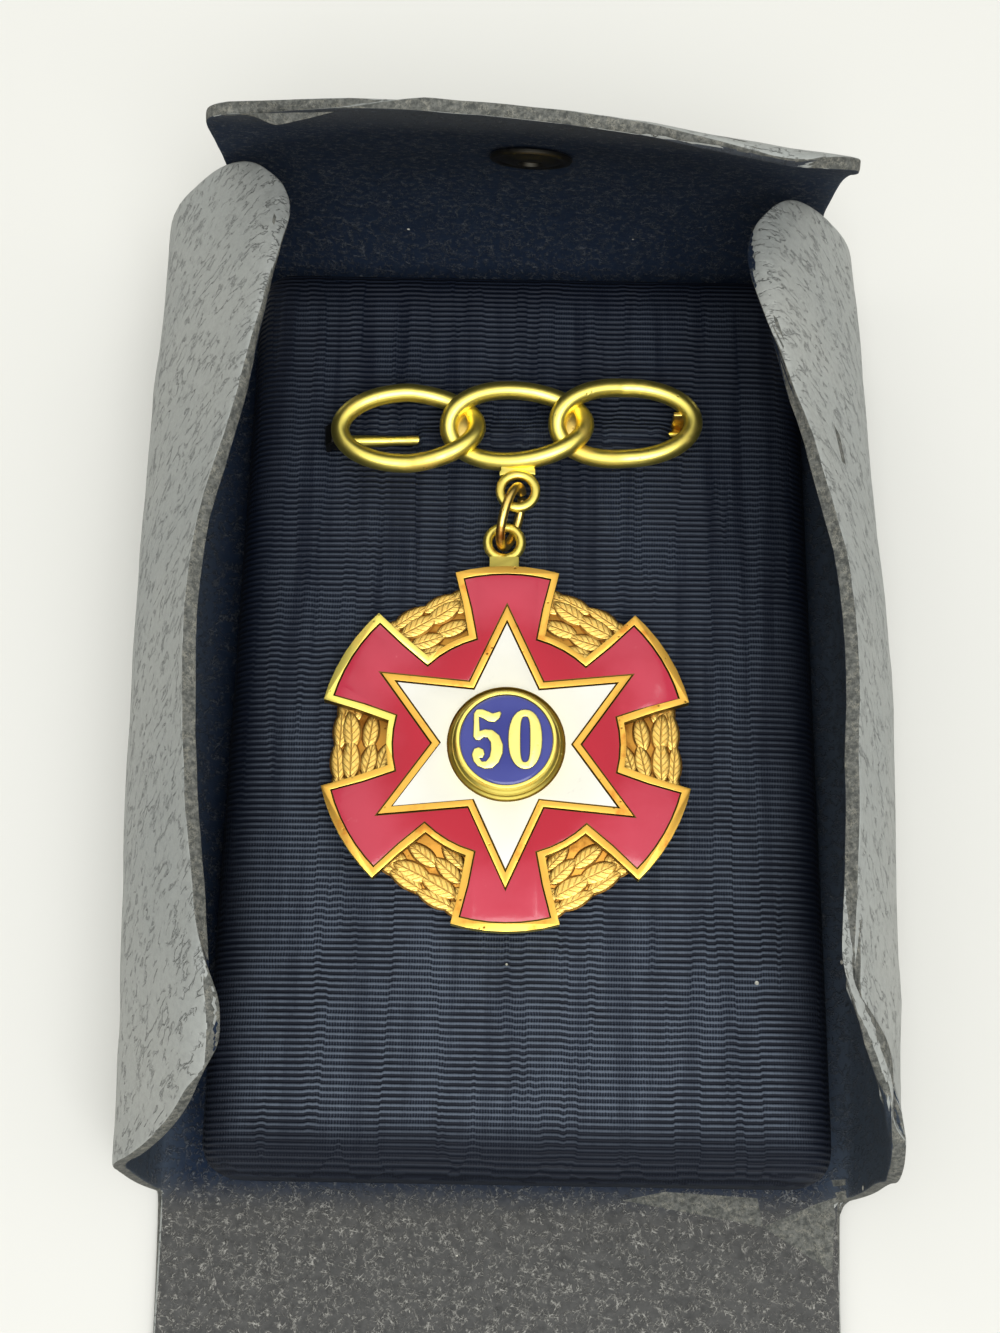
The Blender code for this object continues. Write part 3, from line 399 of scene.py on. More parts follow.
across = calc(ribs, "MULTIPLY", axes.outputs["X"], math.tau / (0.24 * MM))
across = calc(ribs, "MULTIPLY_ADD", noise(ribs, given["Place"], 900.0, 1.0), 6.0, across)
yarn = calc(ribs, "MULTIPLY_ADD", calc(ribs, "SINE", across), 0.5, 0.5)
open_weave = band(ribs, noise(ribs, given["Place"], 160.0, 2.0), 0.4, 0.6)
gap = calc(ribs, "SUBTRACT", 1.0, wave)
broken = calc(ribs, "MULTIPLY", calc(ribs, "MULTIPLY", yarn, gap), open_weave)
lively = calc(ribs, "MULTIPLY_ADD", noise(ribs, given["Place"], 2600.0, 2.0), 0.7, 0.45)
lively = calc(ribs, "MULTIPLY_ADD", yarn, 0.3, lively)
give(ribs, end, Rib=calc(ribs, "MULTIPLY", wave, lively), Yarn=broken,
     Height=calc(ribs, "MULTIPLY_ADD", broken, 0.4, wave))


# %% [markdown]
# A finish starts as one shader with its constant numbers set on it. What changes over the
# surface, colour, roughness and normal, is wired in afterwards.

# %% Start a finish
def finish(name, roughness=0.5, metallic=0.0, **constants):
    made = bpy.data.materials.new(name)
    made.use_nodes = True
    tree = made.node_tree
    shader = tree.nodes["Principled BSDF"]
    shader.inputs["Roughness"].default_value = roughness
    shader.inputs["Metallic"].default_value = metallic
    for label, value in constants.items():
        shader.inputs[label.replace("_", " ")].default_value = value
    place = node(tree, "TexCoord").outputs["Object"]
    return made, tree, shader, place


def wire_up(tree, shader, colour=None, rough=None, height=None, depth=0.1):
    if colour is not None:
        tree.links.new(colour, shader.inputs["Base Color"])
    if rough is not None:
        tree.links.new(rough, shader.inputs["Roughness"])
    if height is not None:
        bump = node(tree, "Bump", {"Height": height, "Strength": 1.0, "Distance": depth * MM})
        tree.links.new(bump.outputs["Normal"], shader.inputs["Normal"])
    print("finish with", len(tree.nodes), "nodes")


# %% [markdown]
# The outer skin of the case is grey leatherette. Its tone drifts from cool to warm along the
# flaps. It is painted a little darker towards the left, as painted shade away from the light, and
# its creases are painted darker as the shade that falls in them. Its pores are darker too.

# %% Finish: outer skin
skin, tree, shader, place = finish("outer skin", 0.55, Specular_IOR_Level=0.35)
hide = place_effect(tree, grain, Place=place)
drift = noise(tree, place, 45.0, 3.0)
tone = blend(tree, drift, srgb(134, 140, 140), srgb(166, 167, 162))
# Painted shade: the skin is painted a little darker towards the left, away from the light.
left_shade = band(tree, node(tree, "SeparateXYZ", {"Vector": place}).outputs["X"], 0.02, -0.02)
tone = blend(tree, calc(tree, "MULTIPLY", left_shade, 0.14), tone, srgb(60, 64, 66))
# Painted shade: the creases are painted darker, as the shade that falls in them.
tone = blend(tree, calc(tree, "MULTIPLY", hide["Crease"], 0.3), tone, srgb(96, 98, 98))
pores = band(tree, noise(tree, place, 1900.0, 3.0, 0.7), 0.6, 0.35)
tone = blend(tree, calc(tree, "MULTIPLY", pores, 0.2), tone, srgb(104, 106, 106))
wire_up(tree, shader, colour=tone, height=hide["Height"], depth=0.3,
        rough=calc(tree, "MULTIPLY_ADD", hide["Crease"], 0.25, 0.5))

# %% [markdown]
# The lining is a dark brushed felt, drawn as a shaded and a lit copy: nearly black inside the
# standing flaps as painted shade, and dusty grey on the lying flap as painted light, where light
# falls on its fibres. The side flaps and the upper rim get a paler painted sheen. The tone
# follows the place along the case.

# %% Finish: felt lining
lining, tree, shader, place = finish("felt lining", 0.92, Specular_IOR_Level=0.1)
felt = place_effect(tree, fibres, Place=place)
dust = place_effect(tree, lint, Place=place)
axes = node(tree, "SeparateXYZ", {"Vector": place}).outputs
# Painted light and shade: the lying flap takes the lit copy of the felt, the rest the shaded copy.
lying_flap_lit = band(tree, axes["Y"], -0.0425, -0.0465)
# Painted light: the felt on the side flaps and near the upper rim is painted paler, as sheen.
lit_flap_sides = band(tree, calc(tree, "ABSOLUTE", axes["X"]), 0.027, 0.032)
upper_rim_sheen = band(tree, axes["Z"], 0.034, 0.043)
cloud = noise(tree, place, 1300.0, 4.0, 0.7)
# The shaded copy of the felt: painted shade inside the standing flaps.
dark = blend(tree, cloud, srgb(10, 22, 42), srgb(38, 50, 68))
dark = blend(tree, calc(tree, "MULTIPLY", lit_flap_sides, 0.45), dark, srgb(92, 102, 112))
dark = blend(tree, calc(tree, "MULTIPLY", upper_rim_sheen, 0.5), dark, srgb(86, 89, 90))
dark = blend(tree, calc(tree, "MULTIPLY", felt["Thread"], 0.8), dark, srgb(94, 99, 106))
# The lit copy of the felt: painted light on the lying flap.
grey = blend(tree, cloud, srgb(42, 43, 44), srgb(94, 94, 93))
grey = blend(tree, calc(tree, "MULTIPLY", felt["Thread"], 0.9), grey, srgb(166, 165, 160))
tone = blend(tree, lying_flap_lit, dark, grey)
tone = blend(tree, dust["Dot"], tone, srgb(215, 212, 200))
wire_up(tree, shader, colour=tone, height=felt["Height"], depth=0.12)

# %% [markdown]
# The cut edge shows the sheet's layers: the felt, a dark line of glue and the skin. The finish
# draws it as one grey with cloudy patches and pale fibres.

# %% Finish: cut edge
cut, tree, shader, place = finish("cut edge", 0.85, Specular_IOR_Level=0.2)
felt = place_effect(tree, fibres, Place=place, Fineness=1.4)
cloud = noise(tree, place, 2200.0, 4.0, 0.7)
tone = blend(tree, band(tree, cloud, 0.35, 0.7), srgb(66, 68, 66), srgb(106, 107, 103))
tone = blend(tree, calc(tree, "MULTIPLY", felt["Thread"], 0.4), tone, srgb(160, 157, 144))
wire_up(tree, shader, colour=tone, height=cloud, depth=0.1)

# %% [markdown]
# The case is one sheet bent up on three sides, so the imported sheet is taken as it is. Its sharp
# edges are marked as seams, and between them triangles are joined to four-sided faces, which
# subdivide more evenly. To tell the sheet's sides apart, a short ray is sent inwards from each
# face. It meets the other side of the sheet, except on the cut rim. The lining is the side that
# looks at the middle of the case.

# %% The case's sheet
RIM, SKIN, LINING = 0, 1, 2
THROUGH_THE_SHEET = 2.0
FACING_AWAY = -0.6
case = copied("case_sheet", "case_shell", flat=False)
open_up(case)
bpy.ops.mesh.select_all(action="DESELECT")
bpy.ops.mesh.edges_select_sharp(sharpness=math.radians(38))
bpy.ops.mesh.mark_seam()
bpy.ops.mesh.select_all(action="SELECT")
bpy.ops.mesh.tris_convert_to_quads(face_threshold=math.radians(26),
                                   shape_threshold=math.radians(60), seam=True)
lay_down_all()
print("case_shell starts with", len(case.data.polygons), "faces")
for layer in (cut, skin, lining):
    case.data.materials.append(layer)


def side_of(face):
    """Gives the place in the sheet's slots of the finish that a face shows."""
    start = face.center - face.normal * 0.01 * MM
    hit, _, facing, _ = case.ray_cast(start, -face.normal, distance=THROUGH_THE_SHEET * MM)
    if not hit or facing.dot(face.normal) > FACING_AWAY:
        return RIM
    middle = Vector((0, min(30 * MM, max(-30 * MM, face.center.y)), 12 * MM))
    return LINING if face.normal.dot(middle - face.center) > 0 else SKIN

# %% [markdown]
# A narrow bevel along the rim holds the cut edge square, and subdivision rounds the bends and
# the outline. Two soft displacements give the standing flaps the slight waviness of a worn
# sheet. Both sides move together, because the push depends only on the place, and the base
# stays flat.

# %% Soft bends and waviness
STILL_BELOW = 5.0
FREE_ABOVE = 17.0
soften(case, 0.2, angle=55, segments=1)
use(case, "SUBSURF", levels=2, render_levels=2)
sides = [side_of(face) for face in case.data.polygons]
for face, side in zip(case.data.polygons, sides):
    face.material_index = side
print("rim, skin and lining have", [sides.count(k) for k in range(3)], "faces")
free = case.vertex_groups.new(name="free")
for vertex in case.data.vertices:
    lift = (vertex.co.z / MM - STILL_BELOW) / (FREE_ABOVE - STILL_BELOW)
    lift = min(1.0, max(0.0, lift))
    free.add([vertex.index], lift, "REPLACE")
for size, push in ((16.0, 0.9), (5.0, 0.22)):
    clouds = bpy.data.textures.new(f"waves_{int(size)}", "CLOUDS")
    clouds.noise_scale = size * MM
    clouds.cloud_type = "COLOR"
    use(case, "DISPLACE", texture=clouds, texture_coords="GLOBAL", direction="RGB_TO_XYZ",
        strength=push * MM, mid_level=0.5, vertex_group="free")
smooth(case, 50)
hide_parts("case_sheet")
seat(case)

# %% [markdown]
# The board's cloth is navy, with paler ribs where the light catches them. Towards the rounded
# edges the cloth is painted darker, and the far half is painted darker too, both as painted shade.

# %% Finish: ribbed cloth
cloth, tree, shader, place = finish("ribbed cloth", 0.62, Specular_IOR_Level=0.2)
weave = place_effect(tree, ribs, Place=place)
dust = place_effect(tree, lint, Place=place, Spacing=230.0, Share=0.16)
tone = blend(tree, band(tree, weave["Rib"], 0.25, 0.9), srgb(7, 13, 26), srgb(82, 91, 104))
tone = blend(tree, calc(tree, "MULTIPLY", weave["Yarn"], 0.6), tone, srgb(66, 75, 90))
streak_place = stretched(tree, place, size=(1, 20, 1))
streak = band(tree, noise(tree, streak_place, 520.0, 3.0, 0.6), 0.42, 0.66)
axes = node(tree, "SeparateXYZ", {"Vector": place}).outputs
far_half_shade = band(tree, axes["Y"], -0.030, 0.030)
streak = calc(tree, "MULTIPLY", streak, calc(tree, "MULTIPLY_ADD", far_half_shade, 0.5, 0.3))
tone = blend(tree, streak, tone, srgb(9, 16, 31))
# Painted shade: the cloth is painted darker towards the rounded edges.
from_middle = calc(tree, "ABSOLUTE", calc(tree, "SUBTRACT", axes["X"], 0.0014))
rim = calc(tree, "MAXIMUM", band(tree, from_middle, 0.0215, 0.0265),
           band(tree, calc(tree, "ABSOLUTE", axes["Y"]), 0.0375, 0.0415))
tone = blend(tree, calc(tree, "MULTIPLY", rim, 0.88), tone, srgb(7, 13, 26))
# Painted shade: the far half of the board is painted darker.
tone = blend(tree, calc(tree, "MULTIPLY", far_half_shade, 0.62), tone, srgb(7, 17, 34))
tone = blend(tree, dust["Dot"], tone, srgb(190, 190, 180))
wire_up(tree, shader, colour=tone, height=weave["Height"], depth=0.16)

# %% [markdown]
# The board is stiff card with a thin layer of foam under stretched cloth, so it doesn't swell
# like a cushion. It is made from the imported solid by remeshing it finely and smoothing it, which
# keeps its flat top, its soft rim and the low ridge that the stem makes under the cloth.

# %% The padded board
board = copied("padded_board", "moire_board", flat=False)
use(board, "REMESH", mode="VOXEL", voxel_size=0.55 * MM)
use(board, "SMOOTH", factor=0.5, iterations=8)
soft_side = board.vertex_groups.new(name="soft side")
for vertex in board.data.vertices:
    soft_side.add([vertex.index], 1.0 if vertex.co.z > 4 * MM else 0.0, "REPLACE")
clouds = bpy.data.textures.new("foam", "CLOUDS")
clouds.noise_scale = 9 * MM
use(board, "DISPLACE", texture=clouds, texture_coords="GLOBAL", direction="Z",
    strength=0.12 * MM, mid_level=0.9, vertex_group="soft side")


RIDGE_START, RIDGE_END = -9.6, 15.0
RIDGE_HALF_WIDTH = 2.4
RIDGE_TOP = 11.02


def over_stem(point):
    """Lifts the cloth over the stem from the place where the stem goes through it."""
    along, side, _ = BAR.inverted() @ point / MM
    on_ridge = abs(side) <= RIDGE_HALF_WIDTH and RIDGE_START < along < RIDGE_END
    if point.z < 8 * MM or not on_ridge:
        return point
    start = min(1.0, (along - RIDGE_START) / 0.5)
    ending = min(1.0, (RIDGE_END - along) / 1.2)
    crown = RIDGE_TOP - 0.9 * (side / 1.1) ** 2 / (1 + 0.35 * (side / 1.1) ** 2)
    raised = PAD_TOP + (crown - PAD_TOP) * start * ending
    return Vector((point.x, point.y, max(point.z, raised * MM)))


shape_points(board, over_stem)
board.data.materials.append(cloth)
smooth(board, 80)
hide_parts("padded_board")
seat(board)


# %% [markdown]
# All bright metal is gilt: a warm yellow with pits, and orange patches where it has tarnished.
# The same build serves the polished gilt, the duller star borders, the matte plate and the old
# brass of the fastener, each with its own two colours.

# %% Finishes: gilt and brass
def metal_finish(name, bright, tarnished, roughness, pits, patch):
    made, tree, shader, place = finish(name, roughness, 1.0)
    wear = place_effect(tree, worn, Place=place, Pits=pits)
    tone = blend(tree, calc(tree, "MULTIPLY", wear["Tarnish"], patch), bright, tarnished)
    tone = blend(tree, calc(tree, "MULTIPLY", wear["Pit"], 0.8), tone, srgb(92, 62, 24))
    rough = calc(tree, "MULTIPLY_ADD", wear["Tarnish"], 0.15, roughness)
    wire_up(tree, shader, colour=tone, height=wear["Height"], depth=0.03,
            rough=calc(tree, "MULTIPLY_ADD", wear["Pit"], 0.3, rough))
    return made


gilt = metal_finish("polished gilt", srgb(255, 236, 120), srgb(250, 210, 108), 0.36, 0.6, 0.5)
pale_gilt = metal_finish("pale gilt", srgb(254, 240, 140), srgb(232, 200, 110), 0.34, 0.4, 0.4)
brown_gilt = metal_finish("browned gilt", srgb(240, 206, 112), srgb(150, 92, 36), 0.32, 0.5, 1.0)
star_gilt = metal_finish("orange gilt", srgb(238, 186, 84), srgb(206, 128, 48), 0.36, 0.9, 0.8)
# A dark gilt that is painted shade, for the walls and gaps where light hardly reaches.
seam_shade = metal_finish("painted shade in the seams", srgb(104, 84, 36), srgb(74, 52, 24), 0.6, 0.3, 0.8)
brass = metal_finish("old brass", srgb(150, 118, 78), srgb(70, 50, 34), 0.42, 0.8, 1.0)
black_brass = metal_finish("blackened brass", srgb(78, 76, 70), srgb(36, 34, 32), 0.38, 0.8, 1.0)
ground_gilt = metal_finish("sunken gilt", srgb(208, 152, 66), srgb(160, 104, 40), 0.5, 0.6, 1.0)


# %% [markdown]
# Each oval is one round wire. Where two ovals meet, one wire dips and the other rises, by a sine
# of twice the turn, so that they weave over and under each other.

# %% The three woven ovals
LINK_PITCH = 10.2
LINK_HALF_LENGTH = 6.4
LINK_HALF_WIDTH = 3.62
LINK_WIRE = 0.87
WEAVE = 0.6


def oval_path(index, points=40):
    middle = (index - 1) * LINK_PITCH
    path = []
    for k in range(points):
        turn = math.tau * k / points
        meets = index < 2 if math.cos(turn) > 0 else index > 0
        lift = -WEAVE * math.sin(2 * turn) if meets else 0.0
        path.append((middle + LINK_HALF_LENGTH * math.cos(turn),
                     LINK_HALF_WIDTH * math.sin(turn), LINK_HEIGHT + lift))
    return path


for index, label in enumerate(("left", "middle", "right")):
    oval = bent_wire(f"oval_{label}", oval_path(index), LINK_WIRE, roundness=7)
    oval.data.materials.append(gilt)
    smooth(oval, 60)
    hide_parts("link_bar")
    seat(oval, BAR)

# %% [markdown]
# Solder fills the narrow gap inside each crossing. It is a ball pressed flat, a little below the
# wires.

# %% Solder in the crossings
for side, label in ((-1, "left"), (1, "right")):
    lay_down_all()
    bpy.ops.mesh.primitive_uv_sphere_add(segments=32, ring_count=16, radius=MM)
    bead = bpy.context.object
    bead.name = f"solder_{label}"
    shape_points(bead, lambda p: Vector((0.85 * p.x, 1.7 * p.y, 0.5 * p.z)))
    bead.data.materials.append(brown_gilt)
    smooth(bead, 60)
    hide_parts("link_bar")
    crossing = Vector((side * LINK_PITCH / 2, 0, LINK_HEIGHT - 0.15))
    seat(bead, BAR @ Matrix.Translation(crossing * MM))

# %% [markdown]
# The bar's small ring is soldered under the middle oval by a tab. The tab is a short plate whose
# lower corners stand out as points beside the ring.

# %% The bar's ring and its tab
def flat_ring(name, radius, half_wide, half_thick, edge):
    inner, outer = radius - half_wide, radius + half_wide
    section = [(inner, -half_thick + edge), (inner + edge, -half_thick),
               (outer - edge, -half_thick), (outer, -half_thick + edge),
               (outer, half_thick - edge), (outer - edge, half_thick),
               (inner + edge, half_thick), (inner, half_thick - edge),
               (inner, -half_thick + edge)]
    return turned(name, section)


bar_ring = flat_ring("bar_ring", 1.64, 0.42, 0.36, 0.17)
bar_ring.data.materials.append(gilt)
smooth(bar_ring, 50)
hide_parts("link_bar")
seat(bar_ring, Matrix.Translation(BAR_LOOP))


def tab_outline(point):
    """Spreads the tab's lower corners and hollows its lower edge between them."""
    spread = 1.1 if point.y < 0 else 1.0
    hollow = 0.3 * MM if point.y < -0.4 * MM else 0.0
    hollow *= 1 - (point.x / (1.5 * MM)) ** 2
    return Vector((point.x * spread, point.y + hollow, point.z))


lay_down_all()
bpy.ops.mesh.primitive_cube_add(size=1, location=(0, 0, 0))
tab = bpy.context.object
tab.name = "ring_tab"
tab.dimensions = (3.0 * MM, 1.15 * MM, 0.6 * MM)
take(tab)
bpy.ops.object.transform_apply(location=True, rotation=True, scale=True)
open_up(tab)
bpy.ops.mesh.subdivide(number_cuts=5)
lay_down_all()
shape_points(tab, tab_outline)
soften(tab, 0.12, angle=40)
tab.data.materials.append(gilt)
smooth(tab, 40)
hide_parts("link_bar")
seat(tab, BAR @ Matrix.Translation(Vector((-0.1, -4.55, LINK_HEIGHT - 0.1)) * MM))


# %% [markdown]
# The hinge plate and the catch with its hook are bent from strip. A strip is drawn as a line of
# points, pulled out to its width and given its thickness. The hinge's barrel is a cylinder.

# %% Bend a strip
def bent_strip(name, line, width, thick):
    piece = drawn_line(name, line)
    bpy.ops.mesh.extrude_edges_move(TRANSFORM_OT_translate={"value": Vector(width) * MM})
    lay_down_all()
    use(piece, "SOLIDIFY", thickness=thick * MM, offset=0.0)
    soften(piece, thick * 0.25, angle=30)
    open_up(piece)
    bpy.ops.mesh.normals_make_consistent(inside=False)
    lay_down_all()
    return piece


CATCH_START = 14.8
HOOK_RADIUS = 0.8
hook_line = []
for k in range(15):
    turn = math.radians(-200 + 220 * k / 14)
    hook_line.append((CATCH_START, HOOK_RADIUS * math.cos(turn),
                      STEM_HEIGHT + HOOK_RADIUS * math.sin(turn)))
hook_line.append((CATCH_START, HOOK_RADIUS, LINK_HEIGHT))
catch = bent_strip("stem_catch", hook_line, (1.6, 0, 0), 0.4)
catch.data.materials.append(brown_gilt)
smooth(catch, 40)
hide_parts("link_bar")
seat(catch, BAR)

hinge_line = [(-17.9, -1.0, 9.9), (-17.9, -1.0, 11.5), (-17.4, -1.0, 12.1), (-16.4, -1.0, 12.2)]
hinge = bent_strip("hinge_plate", hinge_line, (0, 2.0, 0), 0.45)
lay_down_all()
bpy.ops.mesh.primitive_cylinder_add(vertices=24, radius=0.9 * MM, depth=1.8 * MM,
                                    location=(-16.95 * MM, 0, 10.9 * MM),
                                    rotation=(math.pi / 2, 0, 0))
barrel = bpy.context.object
barrel.name = "hinge_barrel"
soften(barrel, 0.15, angle=40)
for piece in (hinge, barrel):
    piece.data.materials.append(black_brass)
    smooth(piece, 40)
    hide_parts("link_bar")
    seat(piece, BAR)

# %% [markdown]
# The stem is a wire that is stout at its hinge and runs to a point in the catch. Its thickness is
# set point by point along the curve.

# %% The stem
STEM_ROOT = -15.9
STEM_LENGTH = 32.7
stem_path = [(STEM_ROOT + STEM_LENGTH * k / 23, 0.0, STEM_HEIGHT) for k in range(24)]
stem_sizes = [1.38, 1.32, 1.15] + [1.0] * 17 + [0.95, 0.8, 0.55, 0.25]
stem = bent_wire("stem", stem_path, 0.45, closed=False, sizes=stem_sizes)
stem.data.materials.append(gilt)
smooth(stem, 60)
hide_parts("pin_stem")
seat(stem, BAR)

# %% [markdown]
# The jump ring is an open oval of round wire through both small rings. It leans a little, and
# its cut is on the lower side. The wire has browned more than the rest.

# %% The jump ring
RING_HALF_WIDTH = 1.75
RING_CUT = 0.4
middle = (BAR_LOOP + MEDAL_LOOP) / 2
reach = BAR_LOOP - MEDAL_LOOP
half_length = reach.length / 2 + 0.4 * MM
reach.normalize()
sideways = reach.cross(Vector((0, 0, 1))).normalized()
upward = Matrix.Rotation(-math.radians(20), 3, reach) @ sideways.cross(reach)
half_cut = RING_CUT / (2 * RING_HALF_WIDTH)
ring_path = []
for k in range(32):
    turn = math.radians(-40) + half_cut + (math.tau - 2 * half_cut) * k / 31
    ring_path.append((middle + half_length * math.cos(turn) * reach
                      + RING_HALF_WIDTH * MM * math.sin(turn) * upward) / MM)
link_ring = bent_wire("open_ring", ring_path, 0.43, closed=False, roundness=6)
link_ring.data.materials.append(brown_gilt)
smooth(link_ring, 60)
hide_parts("jump_ring")
seat(link_ring)

# %% [markdown]
# The leaves behind the cross are struck in matte gilt. Each leaf's own UV runs along and across
# it, so its outline, its midrib and its slanting veins are drawn there as thin brown lines.

# %% Finish: struck leaves
struck, tree, shader, place = finish("struck leaves", 0.44, 1.0)
wear = place_effect(tree, worn, Place=place, Pits=0.6)
flat = node(tree, "SeparateXYZ", {"Vector": node(tree, "UVMap").outputs["UV"]}).outputs
across = calc(tree, "ABSOLUTE", calc(tree, "MULTIPLY_ADD", flat["Y"], 2.0, -1.0))
outline = band(tree, across, 0.76, 0.92)
midrib = band(tree, across, 0.12, 0.02)
slanting = calc(tree, "SUBTRACT", calc(tree, "MULTIPLY", flat["X"], 38.0),
                calc(tree, "MULTIPLY", across, 9.0))
vein = band(tree, calc(tree, "SINE", slanting), 0.5, 1.0)
grit = noise(tree, place, 2400.0, 3.0, 0.7)
marks = calc(tree, "MAXIMUM", calc(tree, "MULTIPLY", midrib, 0.6),
             calc(tree, "MULTIPLY", calc(tree, "MULTIPLY", vein, grit), 0.75))
marks = calc(tree, "MAXIMUM", marks, calc(tree, "MULTIPLY", outline, 0.85))
tone = blend(tree, band(tree, grit, 0.3, 0.7), srgb(238, 190, 96), srgb(253, 218, 122))
tone = blend(tree, marks, tone, srgb(142, 90, 30))
tone = blend(tree, calc(tree, "MULTIPLY", wear["Pit"], 0.6), tone, srgb(92, 62, 24))
raised = calc(tree, "MULTIPLY_ADD", marks, -1.0, calc(tree, "MULTIPLY", grit, 0.6))
wire_up(tree, shader, colour=tone, height=raised, depth=0.06,
        rough=calc(tree, "MULTIPLY_ADD", marks, 0.15, 0.42))

# %% [markdown]
# One leaf is a subdivided plane pulled to a lens outline, nearly flat on top with edges that
# fall steeply. The wreath repeats it in every gap between the arms, all pointing up.

# %% The leaf that the wreath repeats
def leaf_from_plane():
    lay_down_all()
    bpy.ops.mesh.primitive_grid_add(x_subdivisions=12, y_subdivisions=8, size=2)
    piece = bpy.context.object
    piece.name = "leaf"

    def shaped(point):
        share = (point.x + 1) / 2
        half = 0.5 * math.sin(math.pi * share ** 0.85) ** 0.7 if 0 < share < 1 else 0.0
        rise = 0.16 * max(0.0, 1 - point.y ** 4) * min(1.0, 6 * share, 6 * (1 - share))
        return Vector((share, point.y * half, rise))

    shape_points(piece, shaped)
    open_up(piece)
    bpy.ops.mesh.extrude_region_move(TRANSFORM_OT_translate={"value": (0, 0, -0.2)})
    bpy.ops.mesh.select_all(action="SELECT")
    bpy.ops.mesh.normals_make_consistent(inside=False)
    lay_down_all()
    return piece


leaf = leaf_from_plane()
print("one leaf has", len(leaf.data.polygons), "faces")

# %% [markdown]
# Each row gives a leaf's start along the gap, its distance from the medal's middle, its turn
# outwards, its length, its width and its level, in millimetres and degrees. The plate is a disc
# whose rim is drawn out into small lobes where leaf tips end.

# %% The wreath
LEAVES = ((-3.2, 14.0, 0, 4.0, 1.9, 0.17), (-3.4, 15.0, 5, 3.8, 1.5, 0.10),
          (-2.9, 12.7, -12, 3.4, 1.7, 0.10), (-0.4, 13.9, 4, 3.9, 1.9, 0.13),
          (-0.3, 15.05, -2, 3.8, 1.5, 0.06), (-0.3, 12.5, -8, 3.6, 1.7, 0.06),
          (-2.4, 11.5, -18, 3.0, 1.5, 0.02), (-5.8, 13.6, 2, 3.6, 1.9, 0.05),
          (2.2, 13.6, 8, 3.6, 1.9, 0.05), (-5.6, 14.7, 8, 3.6, 1.6, 0.01),
          (2.0, 14.8, -8, 3.6, 1.6, 0.01), (-5.2, 12.4, -6, 3.4, 1.7, 0.01))
sprigs = []
for gap in range(6):
    angle = math.tau * gap / 6
    side = 1 if math.cos(angle) > 0 else -1
    radial = Vector((math.cos(angle), math.sin(angle), 0))
    tangent = side * Vector((-radial.y, radial.x, 0))
    for along, out, turn_out, length, width, level in LEAVES:
        swing = math.radians(turn_out)
        forward = math.cos(swing) * tangent + math.sin(swing) * radial
        outward = math.cos(swing) * radial - math.sin(swing) * tangent
        at = out * radial + along * tangent
        take(leaf)
        bpy.ops.object.duplicate()
        sprig = bpy.context.object
        frame_of_leaf = Matrix((
            (forward.x * length, outward.x * width, 0, at.x),
            (forward.y * length, outward.y * width, 0, at.y),
            (0, 0, 1, PLATE_TOP + level), (0, 0, 0, 1)))
        sprig.data.transform(Matrix.Scale(MM, 4) @ frame_of_leaf)
        sprigs.append(sprig)
lay_down_all()
bpy.ops.mesh.primitive_cylinder_add(vertices=180, radius=15.55 * MM, depth=0.6 * MM,
                                    end_fill_type="TRIFAN",
                                    location=(0, 0, (PLATE_TOP - 0.3) * MM))
plate = bpy.context.object
plate.name = "wreath"
take(plate)
bpy.ops.object.transform_apply(location=True, rotation=True, scale=True)


def lobed(point):
    """Draws the plate's rim out and in, fifteen times in half a turn."""
    angle = math.atan2(point.y, point.x)
    flat = Vector((point.x, point.y, 0))
    if flat.length < 15 * MM:
        return point.copy()
    stretch = 1.0 + 0.012 * abs(math.sin(angle * 15))
    return Vector((point.x * stretch, point.y * stretch, point.z))


shape_points(plate, lobed)
soften(plate, 0.12, angle=60)
plate.data.materials.append(ground_gilt)
for sprig in sprigs:
    sprig.data.materials.append(struck)
    sprig.select_set(True)
plate.select_set(True)
bpy.context.view_layer.objects.active = plate
bpy.ops.object.join()
open_up(plate)
bpy.ops.mesh.normals_make_consistent(inside=False)
lay_down_all()
bpy.data.objects.remove(leaf)
smooth(plate, 35)
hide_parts("medal_wreath")
seat(plate, MEDAL)

# %% [markdown]
# The cross keeps the imported outline, because its raised borders carry the whole drawing of the
# medal. Its edges are rounded so that each border catches a line of light. Borders that lie
# within the star's outline take the duller gilt, and the walls of the recesses take a dark gilt as
# painted shade.

# %% The cross with its borders
STAR_TIP, STAR_NOTCH = 13.1, 6.67
STAR_MARGIN = 0.12
RECESS_FLOOR = 11.4
OUTER_WALL = 16.85


def inside_star(local):
    """True where a place on the medal lies within the star's outer outline."""
    step = math.radians(30)
    turn = math.atan2(local.x, local.y) % (2 * step)
    turn = min(turn, 2 * step - turn)
    edge = STAR_TIP * STAR_NOTCH * math.sin(step) / (
        STAR_TIP * math.sin(turn) + STAR_NOTCH * math.sin(step - turn))
    return math.hypot(local.x, local.y) < edge + STAR_MARGIN


cross = copied("medal_cross", "cross")
soften(cross, 0.13, angle=50)
for layer in (gilt, star_gilt, seam_shade):
    cross.data.materials.append(layer)
for face in cross.data.polygons:
    local = MEDAL.inverted() @ face.center / MM
    face.material_index = int(inside_star(local))
    # Painted shade: the upright walls of the recesses take the dark seam gilt.
    upright = abs(face.normal.z) < 0.2 and face.area < 12 * MM * MM
    if upright and local.z > RECESS_FLOOR and math.hypot(local.x, local.y) < OUTER_WALL:
        face.material_index = 2
smooth(cross, 50)
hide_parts("medal_cross")
seat(cross)

# %% [markdown]
# Enamel is coloured glass fired into the recesses. It is smooth and glossy on top, and its
# colour is deeper towards the middle of the medal, partly where the layer is thick and partly as
# painted reflection: the outer parts are painted paler, as the pale surroundings' light lies on
# them.

